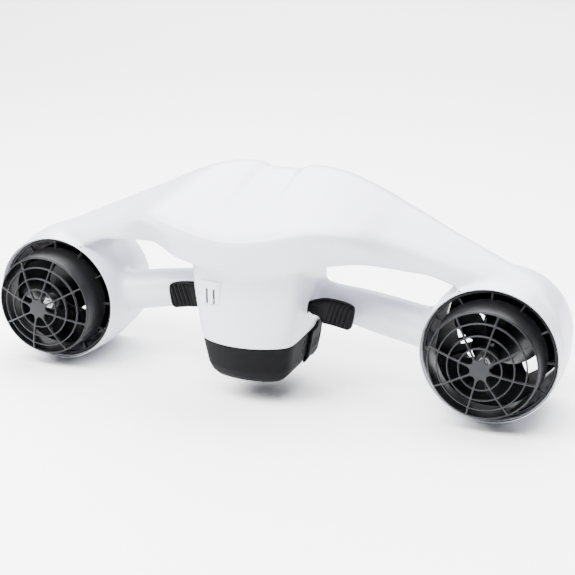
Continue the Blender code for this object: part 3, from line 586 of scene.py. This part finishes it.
def rounded(points, radius, steps=3, closed=True):
    """A profile with its corners turned into arcs. A corner may carry its own radius as a third value."""
    result = []
    count = len(points)
    for i, corner in enumerate(points):
        here = Vector(corner[:2])
        own = corner[2] if len(corner) > 2 else radius
        if not own or (not closed and i in (0, count - 1)):
            result.append(tuple(here))
            continue
        before = Vector(points[i - 1][:2]) - here
        after = Vector(points[(i + 1) % count][:2]) - here
        half = before.angle(after) / 2
        reach = min(own / math.tan(half), 0.49 * min(before.length, after.length))
        start, end = here + before.normalized() * reach, here + after.normalized() * reach
        for step in range(steps + 1):
            t = step / steps
            result.append(tuple(start * (1 - t) ** 2 + here * 2 * t * (1 - t) + end * t**2))
    return result


def pair(base, mesh, material, body, slot, *nodes):
    """Adds a right-hand piece and its mirror image. Names with {} in them take the side's name."""
    flipped = mesh.copy()
    flipped.name = f"{base}_left"
    normals = None
    if mesh.has_custom_normals:
        normals = np.empty(len(mesh.loops) * 3, np.float32)
        mesh.corner_normals.foreach_get("vector", normals)
    flipped.transform(Matrix.Scale(-1, 4, (1, 0, 0)))
    flipped.flip_normals()
    if normals is not None:
        vertex_normals = np.zeros((len(mesh.vertices), 3), np.float32)
        corners = np.empty(len(mesh.loops), np.int32)
        mesh.loops.foreach_get("vertex_index", corners)
        vertex_normals[corners] = normals.reshape(-1, 3) * (-1, 1, 1)
        flipped.normals_split_custom_set_from_vertices(vertex_normals)
    for side, own in (("right", mesh), ("left", flipped)):
        names = [node.format(side) for node in nodes]
        added(f"{base}_{side}", own, material, body.format(side), slot, *names)


# Thrusters

RIM_R, RIM_Y = 0.0490, -0.0288  # front rim of the guard's drum
WEB_DOME, WEB_THICK = 0.0111, 0.0026
LINER_R, LINER_END = 0.0500, 0.0770
PROP_R, PROP_HUB_R, SHAFT_R, BLADES = 0.0450, 0.0115, 0.0028, 4
POD_R, POD_FRONT, POD_BACK, POD_EDGE, POD_BORE = 0.0205, 0.0180, 0.0620, 0.0035, 0.0083
STRUT_TILT, STRUT_Y, STRUT_END = math.radians(22), 0.0420, 0.0478
STRUT_HALF_WIDTH, STRUT_HALF_LENGTH = 0.0045, 0.0075
VANE_HALF, VANE_Y, VANE_HALF_LENGTH, VANE_END = 0.0012, 0.0425, 0.0125, 0.0470
ARMS_START = 0.012  # the strut and the vanes begin inside the pod, at this radius
SPOKES = 8
SLOT_IN, SLOT_OUT, FLANGE_R = 0.0500, 0.0566, 0.0596
FLANGE_RIBS = 12
RIBS_R, RIBS_REACH = 0.0533, 0.0043
FRONT_RINGS, FRONT_WEB_R = (0.0187, 0.0290, 0.0390, 0.0477), 0.0481
REAR_RINGS, REAR_WEB_R = (0.0220, 0.0360), 0.0566
REAR_RIM, REAR_RIM_HALF, REAR_WEB_Y, REAR_WEB_HALF = 0.0533, 0.0033, 0.0789, 0.0015
WEB_TURN = {"right": math.radians(8.2), "left": math.radians(-5.6)}  # the left one before it is mirrored
FIRST_BLADE = math.radians(-35)  # from straight up
BLADE_ROOT_R, BLADE_TIP_R = 0.0098, PROP_R - 0.0003
PITCH_ROOT, PITCH_TIP = 58, 24  # degrees


def wheel_field(across, up, rings, ring_half, spoke_half, hub, fillet):
    """A wheel of spokes and rings in a plane, with a hub that swells into its spokes."""
    radius = np.hypot(across, up)
    turn = np.arctan2(up, across) / (math.tau / SPOKES)
    off = (turn - np.floor(turn) - 0.5) * (math.tau / SPOKES)
    bars = np.abs(radius * np.sin(off)) - spoke_half
    for ring in rings:
        bars = smooth_min(bars, np.abs(radius - ring) - ring_half, 0.0012)
    return smooth_min(bars, radius - hub, fillet)


def front_web_field(x, y, z, turn):
    across, up = x - AXIS_X, z - AXIS_Z
    along = across * math.cos(turn) + up * math.sin(turn)
    aside = up * math.cos(turn) - across * math.sin(turn)
    radius = np.hypot(across, up)
    face = FACE_Y + RIM_Y - WEB_DOME * (1 - (radius / RIM_R) ** 2)
    bars = wheel_field(
        along, aside, FRONT_RINGS, ring_half=0.0006, spoke_half=0.00075, hub=0.0078, fillet=0.0075
    )
    bars = np.maximum(bars, radius - FRONT_WEB_R)
    return smooth_max(bars, np.abs(y - face - WEB_THICK / 2) - WEB_THICK / 2, 0.0008)


def rear_web_field(x, y, z):
    across, up = x - AXIS_X, z - AXIS_Z
    radius = np.hypot(across, up)
    bars = wheel_field(across, up, REAR_RINGS, ring_half=0.0010, spoke_half=0.0012, hub=0.0085, fillet=0.006)
    bars = smooth_min(bars, np.abs(radius - REAR_RIM) - REAR_RIM_HALF, 0.002)
    bars = np.maximum(bars, radius - REAR_WEB_R)
    return smooth_max(bars, np.abs(y - FACE_Y - REAR_WEB_Y) - REAR_WEB_HALF, 0.0012)


def flange_ribs_field(x, y, z):
    """Short ribs across the flange's slots."""
    across, up, along = x - AXIS_X, z - AXIS_Z, y - FACE_Y
    radius = np.hypot(across, up)
    step = math.tau / FLANGE_RIBS
    turn = np.arctan2(up, across) / step + 0.5
    off = (turn - np.floor(turn) - 0.5) * step
    body = smooth_max(np.abs(radius * np.sin(off)) - 0.0008, np.abs(along + 0.0004) - 0.0020, 0.0010)
    return smooth_max(body, np.abs(radius - RIBS_R) - RIBS_REACH, 0.0010)


def blade_rings():
    """Points of one blade, root to tip, each ring running round a thin aerofoil."""
    rings = []
    count, stations = 14, 14
    for step in range(stations + 1):
        share = step / stations
        radius = BLADE_ROOT_R + (BLADE_TIP_R - BLADE_ROOT_R) * share
        pitch = math.radians(PITCH_ROOT + (PITCH_TIP - PITCH_ROOT) * share)
        chord = 0.0125 + 0.0088 * math.sin(math.pi * min(1, share * 0.85))
        chord *= math.sqrt(max(0.0, 1 - max(0.0, share - 0.86) ** 2 / 0.0252))
        thick = 0.0013 - 0.0006 * share
        ring = []
        for i in range(count):
            angle = math.tau * i / count
            along = chord * math.cos(angle)
            above = thick * math.sin(angle) + 0.0011 * (1 - (along / max(chord, 1e-6)) ** 2)
            across = along * math.cos(pitch) + above * math.sin(pitch)
            back = -along * math.sin(pitch) + above * math.cos(pitch)
            bend = across / radius
            ring.append((radius * math.sin(bend), back, radius * math.cos(bend)))
        rings.append(ring)
    return rings


def propeller_mesh():
    """Blades and a turned hub, which overlap inside."""
    bm = bmesh.new()
    for blade in range(BLADES):
        turn = Matrix.Rotation(FIRST_BLADE + math.tau * blade / BLADES, 3, "Y")
        rings = [[bm.verts.new(turn @ Vector(point)) for point in ring] for ring in blade_rings()]
        count = len(rings[0])
        for low, high in zip(rings, rings[1:]):
            for i in range(count):
                j = (i + 1) % count
                bm.faces.new((low[i], low[j], high[j], high[i]))
        bm.faces.new(rings[0])
        bm.faces.new(rings[-1])
    hub = (
        (SHAFT_R, -0.015), (0.0085, -0.015, 0.0015), (PROP_HUB_R, -0.009, 0.003), (PROP_HUB_R, 0.014),
        (SHAFT_R, 0.014),
    )
    hub = rounded(hub, 0.0006)
    verts = [bm.verts.new((radius, along, 0)) for radius, along in hub]
    edges = [bm.edges.new(ends) for ends in zip(verts, verts[1:] + verts[:1])]
    spin_about_thruster(bm, verts + edges, 48)
    return finished_mesh(bm, "propeller", 40)


def pod_field(x, y, z):
    """The motor pod with its oval strut and three vanes."""
    across, up, along = x - AXIS_X, z - AXIS_Z, y - FACE_Y
    radius = np.hypot(across, up)
    middle, half = (POD_FRONT + POD_BACK) / 2, (POD_BACK - POD_FRONT) / 2
    pod = smooth_max(radius - POD_R, np.abs(along - middle) - half, POD_EDGE)
    pod = np.maximum(pod, POD_BORE - radius)
    lean_up = up * math.cos(STRUT_TILT) - across * math.sin(STRUT_TILT)
    lean_side = across * math.cos(STRUT_TILT) + up * math.sin(STRUT_TILT)
    oval = np.hypot(lean_side / STRUT_HALF_WIDTH, (along - STRUT_Y) / STRUT_HALF_LENGTH) - 1
    strut = np.maximum(oval * STRUT_HALF_WIDTH, np.maximum(ARMS_START - lean_up, radius - STRUT_END))
    vanes = np.maximum(np.abs(lean_side) - VANE_HALF, lean_up)
    vanes = np.minimum(vanes, np.abs(lean_up) - VANE_HALF)
    vanes = smooth_max(vanes, np.abs(along - VANE_Y) - VANE_HALF_LENGTH, 0.002)
    vanes = np.maximum(np.maximum(vanes, radius - VANE_END), ARMS_START - radius)
    return smooth_min(pod, smooth_min(strut, vanes, 0.003), 0.004)


def make_thrusters():
    inner = (
        (0.0598, 0.0040, 0), (0.0599, 0.0, 0.0020), (0.0608, -0.0062, 0.0005), (0.0617, -0.0061, 0.0006),
        (0.0619, -0.0031, 0), (0.0600, -0.0031, 0), (0.0612, 0.0130, 0), (0.0616, 0.0290, 0),
        (0.0608, 0.0500, 0), (0.0582, 0.0740, 0), (0.0580, 0.0761, 0), (0.0600, 0.0761, 0),
        (0.0590, 0.0830, 0.0030), (0.0570, 0.0830, 0.0012), (0.0572, 0.0700, 0),
    )
    pair("duct_lining", turned_mesh("duct_lining", rounded(inner, 0, 5)), WHITE, "hull", "white_shell")
    drum = (
        (RIM_R - 0.0022, RIM_Y, 0.0009), (RIM_R - 0.0002, RIM_Y, 0.0012), (RIM_R + 0.0002, -0.0080, 0.010),
        (SLOT_IN + 0.0006, 0.0, 0.001), (SLOT_IN + 0.0006, 0.0019, 0.0005),
        (SLOT_IN - 0.0018, 0.0019, 0.0005), (RIM_R - 0.0020, -0.0120, 0.004),
    )
    mesh = turned_mesh("guard_drum", rounded(drum, 0, 5))
    pair("guard_drum", mesh, DRUM, "hull", "black_plastic", "front_guard_{}")
    flange = (
        (SLOT_OUT, -0.0012, 0.0006), (FLANGE_R - 0.0004, -0.0012, 0.0008), (FLANGE_R, 0.0016, 0.0004),
        (SLOT_OUT, 0.0016, 0.0004),
    )
    pair("guard_flange", turned_mesh("guard_flange", rounded(flange, 0)), BLACK, "hull", "black_plastic")
    # The flange ribs are black like the flange; they take the lighter web grey as a painted highlight,
    # standing in for the light their rounded edges catch.
    low = Vector((AXIS_X - 0.062, FACE_Y - 0.004, AXIS_Z - 0.062))
    high = Vector((AXIS_X + 0.062, FACE_Y + 0.004, AXIS_Z + 0.062))
    mesh = net_mesh("guard_ribs", flange_ribs_field, low, high, 0.0006)
    pair("guard_ribs", mesh, WEB_GREY, "hull", "black_plastic")
    low = Vector((AXIS_X - 0.050, FACE_Y + RIM_Y - WEB_DOME - 0.001, AXIS_Z - 0.050))
    high = Vector((AXIS_X + 0.050, FACE_Y + RIM_Y + WEB_THICK + 0.001, AXIS_Z + 0.050))
    for side, sign in SIDES.items():
        web_field = lambda x, y, z: front_web_field(x, y, z, WEB_TURN[side])
        mesh = net_mesh(f"guard_web_{side}", web_field, low, high, 0.00045)
        if sign < 0:
            mesh.transform(Matrix.Scale(-1, 4, (1, 0, 0)))
            mesh.flip_normals()
        added(f"guard_web_{side}", mesh, WEB_GREY, "hull", "black_plastic")
    low = Vector((AXIS_X - 0.058, FACE_Y + 0.0768, AXIS_Z - 0.058))
    high = Vector((AXIS_X + 0.058, FACE_Y + 0.0810, AXIS_Z + 0.058))
    mesh = net_mesh("rear_web", rear_web_field, low, high, 0.0006)
    pair("rear_web", mesh, BLACK, "hull", "black_plastic", "rear_guard_{}")
    inside = LINER_R - 0.0022
    liner = ((inside, 0.0021), (LINER_R, 0.0021), (LINER_R, LINER_END), (inside, LINER_END))
    mesh = turned_mesh("liner", rounded(liner, 0.0006))
    pair("liner", mesh, SOFT_BLACK, "hull", "black_plastic", "duct_liner_{}")
    low = Vector((AXIS_X - 0.049, FACE_Y + 0.016, AXIS_Z - 0.049))
    high = Vector((AXIS_X + 0.049, FACE_Y + 0.064, AXIS_Z + 0.049))
    mesh = net_mesh("pod", pod_field, low, high, 0.0010)
    pair("pod", mesh, SOFT_BLACK, "hull", "black_plastic", "motor_pod_{}")
    joint = POD_BACK + 0.0003
    tail = ((0, 0.0745), (0.0120, 0.0722, 0.006), (POD_R, 0.0655, 0.004), (POD_R, joint), (0, joint))
    mesh = turned_mesh("pod_tail", rounded(tail, 0.0004, 4, False))
    pair("pod_tail", mesh, SOFT_BLACK, "hull", "black_plastic", "motor_tail_{}")
    pair("propeller_blades", propeller_mesh(), BLADE, "propeller_{}", "black_plastic", "propeller_{}")


# Levers, vent panel and battery

LEVER_OUTLINE = (  # x and z, in millimetres
    (34, 84), (34, 92), (48, 91.5), (52, 94.4), (61.4, 97.6), (70, 97.9), (80.4, 96.7), (89, 94.2),
    (92, 91), (92, 85), (91, 78.7), (89.4, 72.4), (86, 70), (82, 70.4), (72.4, 72.3), (63, 73.4),
    (60.2, 75), (59.2, 78), (55.6, 80), (51.5, 80.8), (48, 83.4),
)
RIB_START, RIB_STEP, RIB_SLANT, RIB_DEPTH = 0.0645, 0.0043, 0.30, 0.0009


def lever_field(x, y, z):
    flat = outline_field(LEVER_CURVE, x, z)
    crown = 0.0012 * smooth_step(0.044, 0.066, x)
    slanted = x - RIB_SLANT * (z - 0.090)
    groove = (0.5 + 0.5 * np.cos(math.tau * (slanted - RIB_START) / RIB_STEP)) ** 2 * RIB_DEPTH
    groove = groove * smooth_step(RIB_START, 0.074, slanted) * smooth_step(-0.0008, -0.003, flat)
    front = -(y + 0.0106 + crown) + groove
    back = y + 0.0035
    thick = smooth_max(front, back, 0.003)
    return smooth_max(flat, thick, 0.0065 - 0.004 * smooth_step(0.058, 0.046, x))


LEVER_CURVE = curved(np.array(LEVER_OUTLINE) * MM, 2)

VENT_SLOTS = (  # centre, half width, middle height and half height
    (-0.0024, 0.0011, -0.0035, 0.0070), (0.0051, 0.0011, -0.0035, 0.0070), (0.0122, 0.0008, -0.0006, 0.0034),
)
VENT_PLACE, VENT_TURN, VENT_HALF = (-0.0300, -0.0520, 0.1055), math.radians(-10), (0.0100, 0.0112)
VENT_FACE, FACET_TURN = 0.0015, math.radians(52)
# The hollow behind the slots, which runs on through the trunk's skin
WELL_ACROSS, WELL_HALF_WIDTH = 0.0013, 0.0068
WELL_UP, WELL_HALF_HEIGHT = -0.0035, 0.0076


def on_vent(x, y, z):
    """Coordinates across, out of and up the vent panel."""
    dx, dy = x - VENT_PLACE[0], y - VENT_PLACE[1]
    cosine, sine = math.cos(VENT_TURN), math.sin(VENT_TURN)
    return dx * cosine + dy * sine, dx * sine - dy * cosine, z - VENT_PLACE[2]


def vent_field(x, y, z):
    across, out, up = on_vent(x, y, z)
    block = smooth_max(-across - VENT_HALF[0], np.abs(up) - VENT_HALF[1], 0.004)
    facet = (across - VENT_HALF[0]) * math.cos(FACET_TURN) + (out - VENT_FACE) * math.sin(FACET_TURN)
    face = smooth_max(out - VENT_FACE, facet, 0.0015)
    block = smooth_max(block, smooth_max(face, -0.0040 - out, 0.001), 0.0025)
    slots = np.full(x.shape, np.inf)
    for centre, half, middle, long in VENT_SLOTS:
        slot = smooth_max(np.abs(across - centre) - half, np.abs(up - middle) - long, 0.001)
        slots = np.minimum(slots, slot)
    well = np.maximum(np.abs(across - WELL_ACROSS) - WELL_HALF_WIDTH, np.abs(up - WELL_UP) - WELL_HALF_HEIGHT)
    block = np.maximum(block, -np.maximum(well, out + 0.0001))
    return smooth_max(block, -slots, 0.0005)


def cap_field(x, y, z):
    """The battery cap, with a notch for each latch and a fine slanted groove on each side."""
    side = np.abs(x)
    body = levelled(CAP_LEVELS, side, y, z)
    body = smooth_max(smooth_max(body, 0.020 - z, 0.004), z - 0.0587, 0.0010)
    notch = np.maximum(np.maximum(0.0315 - side, np.abs(y - LATCH_Y) - 0.0148), z - 0.0340)
    line = np.maximum(np.abs(y + 0.0020 + 0.15 * (0.060 - z)) - 0.0003, 0.036 - side)
    line = np.maximum(line, -body - 0.0007)
    return np.maximum(smooth_max(body, -notch, 0.0012), -line)


LATCH_Y = 0.020
BARREL_X, BARREL_R, BARREL_HALF = 0.0352, 0.0027, 0.0080
PIN_X, PIN_Z, PIN_HOLE_R = 0.0350, 0.0280, 0.0014
LATCH_SECTIONS = (  # z, inner x and outer x, in millimetres
    (25.5, 36.2, 38.8), (32, 39.7, 42.7), (46, 42.5, 45.7), (58, 44.4, 47.3), (64, 45.4, 47.6),
)
LATCH_OUTLINE = (  # y and z, in millimetres
    (6.5, 26), (6, 40), (6, 56.5), (7.5, 58), (17, 58.5), (19.5, 60), (20.5, 63.2), (22, 64), (32.5, 64),
    (34, 62.5), (34, 40), (33.5, 26),
)


def latch_field(x, y, z):
    """A latch: a ridged plate with a bite out of its lower edge, and a barrel with a hole for its pin."""
    heights = [row[0] * MM for row in LATCH_SECTIONS]
    inner, outer = (np.interp(z, heights, [row[i] * MM for row in LATCH_SECTIONS]) for i in (1, 2))
    flat = outline_field(LATCH_CURVE, y, z)
    bite = np.hypot(y - LATCH_Y, z - 0.0235) - 0.0075
    flat = smooth_max(flat, -bite, 0.002)
    plate = smooth_max(flat, np.maximum(inner - x, x - outer), 0.0022)
    ridges = np.abs((z / 0.0032) % 1 - 0.5) * 0.0032 - 0.0009
    ridges = np.maximum(np.maximum(ridges, np.abs(z - 0.046) - 0.0056), np.abs(y - 0.0205) - 0.0095)
    ridges = np.maximum(ridges, outer - 0.0004 - x)
    plate = smooth_max(plate, -ridges, 0.0008)
    length = np.abs(y - LATCH_Y) - BARREL_HALF
    barrel = np.maximum(np.hypot(x - BARREL_X, z - PIN_Z) - BARREL_R, length)
    web = np.maximum(np.maximum(np.abs(z - 0.0285) - 0.0018, BARREL_X - x), length)
    web = np.maximum(web, x - 0.0385)
    solid = smooth_min(plate, np.minimum(barrel, web), 0.001)
    return np.maximum(solid, PIN_HOLE_R - np.hypot(x - PIN_X, z - PIN_Z))


LATCH_CURVE = np.array(LATCH_OUTLINE) * MM


def make_handling():
    low, high = (0.0325, -0.0145, 0.0675), (0.0940, -0.0015, 0.1000)
    mesh = net_mesh("lever", lever_field, low, high, 0.0005)
    pair("lever", mesh, LEVER_BLACK, "lever_{}", "black_plastic", "finger_lever_{}")
    low, high = (-0.0440, -0.0600, 0.0920), (-0.0130, -0.0440, 0.1190)
    mesh = net_mesh("vent", vent_field, low, high, 0.00045)
    added("vent", mesh, WHITE, "hull", "white_shell", "vent_panel")
    low, high = (-0.0460, -0.0610, 0.0170), (0.0460, 0.0650, 0.0605)
    mesh = net_mesh("cap", cap_field, low, high, 0.0011, 1)
    added("cap", mesh, CHARCOAL, "battery", "charcoal_plastic", "battery_cap")
    low, high = (0.0310, 0.0045, 0.0240), (0.0490, 0.0355, 0.0655)
    mesh = net_mesh("latch", latch_field, low, high, 0.0006)
    pair("latch", mesh, CHARCOAL, "latch_{}", "charcoal_plastic", "battery_latch_{}")


# Materials

GRAIN, COAT_ROUGHNESS = 0.0006, 0.12


def plastic(name, colour, roughness, coat=0.0, bump=0.03, mottle=0.03, specular=0.5, metallic=0.0):
    """A moulded or metal surface: a faint mottle in colour and gloss, and a fine grain."""
    material = bpy.data.materials.new(name)
    material.use_nodes = True
    nodes, links = material.node_tree.nodes, material.node_tree.links
    shader = nodes["Principled BSDF"]
    place = nodes.new("ShaderNodeTexCoord")
    cloud = nodes.new("ShaderNodeTexNoise")
    cloud.inputs["Scale"].default_value = 22
    cloud.inputs["Detail"].default_value = 3
    links.new(place.outputs["Object"], cloud.inputs["Vector"])
    tint = nodes.new("ShaderNodeMix")
    tint.data_type = "RGBA"
    darker = [value * (1 - mottle) for value in colour]
    lighter = [min(1, value * (1 + mottle)) for value in colour]
    tint.inputs["A"].default_value = (*darker, 1)
    tint.inputs["B"].default_value = (*lighter, 1)
    links.new(cloud.outputs["Fac"], tint.inputs["Factor"])
    links.new(tint.outputs["Result"], shader.inputs["Base Color"])
    gloss = nodes.new("ShaderNodeMapRange")
    gloss.inputs["To Min"].default_value = roughness * 0.9
    gloss.inputs["To Max"].default_value = roughness * 1.12
    links.new(cloud.outputs["Fac"], gloss.inputs["Value"])
    links.new(gloss.outputs["Result"], shader.inputs["Roughness"])
    fine = nodes.new("ShaderNodeTexNoise")
    fine.inputs["Scale"].default_value = 1 / GRAIN
    fine.inputs["Detail"].default_value = 2
    links.new(place.outputs["Object"], fine.inputs["Vector"])
    relief = nodes.new("ShaderNodeBump")
    relief.inputs["Strength"].default_value = bump
    relief.inputs["Distance"].default_value = 0.0002
    links.new(fine.outputs["Fac"], relief.inputs["Height"])
    links.new(relief.outputs["Normal"], shader.inputs["Normal"])
    shader.inputs["Specular IOR Level"].default_value = specular
    shader.inputs["Metallic"].default_value = metallic
    shader.inputs["Coat Weight"].default_value = coat
    shader.inputs["Coat Roughness"].default_value = COAT_ROUGHNESS
    return material


WHITE = plastic("white_plastic", (0.600, 0.605, 0.670), 0.34, coat=0.15, mottle=0.008)
BLACK = plastic("black_plastic", (0.0055, 0.0055, 0.0064), 0.48, specular=0.20)
SOFT_BLACK = plastic("soft_black_plastic", (0.0014, 0.0014, 0.0018), 0.80, specular=0.04)
DRUM = plastic("drum_plastic", (0.0035, 0.0035, 0.0042), 0.42, specular=0.20)
WEB_GREY = plastic("web_plastic", (0.015, 0.015, 0.0175), 0.40, specular=0.18)
BLADE = plastic("blade_plastic", (0.004, 0.004, 0.0046), 0.28, specular=0.2)
LEVER_BLACK = plastic("lever_plastic", (0.0014, 0.0014, 0.0018), 0.34, specular=0.07)
CHARCOAL = plastic("charcoal_plastic", (0.0042, 0.0043, 0.0050), 0.62, specular=0.05)
RUBBER = plastic("rubber", (0.010, 0.010, 0.011), 0.75, specular=0.3, bump=0.1)
STEEL = plastic("steel", (0.34, 0.345, 0.355), 0.34, metallic=1.0, mottle=0.06)
COPPER = plastic("copper", (0.55, 0.28, 0.14), 0.35, metallic=1.0, mottle=0.1)
BRASS = plastic("brass", (0.72, 0.55, 0.26), 0.3, metallic=1.0, mottle=0.05)
BOARD = plastic("board", (0.03, 0.16, 0.07), 0.5, mottle=0.2)
CELLS = plastic("cells", (0.10, 0.22, 0.42), 0.4, mottle=0.08)

SLOT_MATERIALS = {
    "white_shell": WHITE,
    "black_plastic": SOFT_BLACK,
    "charcoal_plastic": CHARCOAL,
    "seal_rubber": RUBBER,
    "steel": STEEL,
    "copper_winding": COPPER,
    "circuit_board": BOARD,
    "cell_wrap": CELLS,
    "contact_brass": BRASS,
}


def finish_nodes():
    """Gives each CAD node its slot's material."""
    for part in frame["record"]["subparts"]:
        obj = frame["nodes"][part["node"]]
        obj.data.materials.clear()
        obj.data.materials.append(SLOT_MATERIALS[part["material_slot"]])


finish_nodes()
make_body_skin(WHITE)
make_thrusters()
make_handling()

# Stage, light and camera


def make_stage():
    bm = bmesh.new()
    bmesh.ops.create_circle(bm, cap_ends=True, radius=9, segments=64)
    mesh = bpy.data.meshes.new("floor")
    bm.to_mesh(mesh)
    bm.free()
    floor = bpy.data.objects.new("floor", mesh)
    floor.location.z = CAD_BOX[0][2] - 0.0002
    bpy.context.scene.collection.objects.link(floor)
    paper = bpy.data.materials.new("paper")
    paper.use_nodes = True
    shader = paper.node_tree.nodes["Principled BSDF"]
    shader.inputs["Base Color"].default_value = (0.93, 0.93, 0.93, 1)
    shader.inputs["Roughness"].default_value = 0.9
    mesh.materials.append(paper)


def area_light(name, place, aim, size, power):
    data = bpy.data.lights.new(name, "AREA")
    data.shape = "RECTANGLE"
    data.size, data.size_y = size
    data.energy = power
    lamp = bpy.data.objects.new(name, data)
    lamp.location = place
    lamp.rotation_euler = (Vector(aim) - Vector(place)).to_track_quat("-Z", "Y").to_euler()
    bpy.context.scene.collection.objects.link(lamp)


def make_lights():
    """Three lamps above the scooter, one that brightens the floor behind it, and a dim bluish surround."""
    area_light("key", (-1.1, -1.0, 1.7), (0, 0, 0.1), (1.6, 1.2), 155)
    area_light("top", (0.1, 0.5, 1.9), (0, 0, 0.1), (2.2, 1.2), 135)
    area_light("front", (0, -0.9, 1.9), (0, 0, 0.1), (1.6, 0.8), 92)
    area_light("backdrop", (-1.0, 3.4, 2.4), (-1.0, 2.8, 0), (5.0, 3.0), 500)
    world = bpy.data.worlds.new("studio")
    bpy.context.scene.world = world
    world.use_nodes = True
    background = world.node_tree.nodes["Background"]
    background.inputs["Color"].default_value = (0.84, 0.86, 1, 1)
    background.inputs["Strength"].default_value = 0.35


CAMERA_AZIMUTH, CAMERA_ELEVATION, CAMERA_ROLL = 21.139, 18.138, 0.148
CAMERA_LENS, CAMERA_DISTANCE = 77.83, 1.1329
CAMERA_AIM = (0.0267, FACE_Y, AXIS_Z + 0.0389)


def make_camera():
    azimuth, elevation = math.radians(CAMERA_AZIMUTH), math.radians(CAMERA_ELEVATION)
    back = Vector((
        math.sin(azimuth) * math.cos(elevation), -math.cos(azimuth) * math.cos(elevation), math.sin(elevation)
    ))
    data = bpy.data.cameras.new("camera")
    data.lens = CAMERA_LENS
    data.sensor_width = 36
    camera = bpy.data.objects.new("camera", data)
    turn = (-back).to_track_quat("-Z", "Y").to_matrix() @ Matrix.Rotation(math.radians(CAMERA_ROLL), 3, "Z")
    camera.matrix_world = Matrix.Translation(Vector(CAMERA_AIM) + back * CAMERA_DISTANCE) @ turn.to_4x4()
    bpy.context.scene.collection.objects.link(camera)
    bpy.context.scene.camera = camera


make_stage()
make_lights()
make_camera()
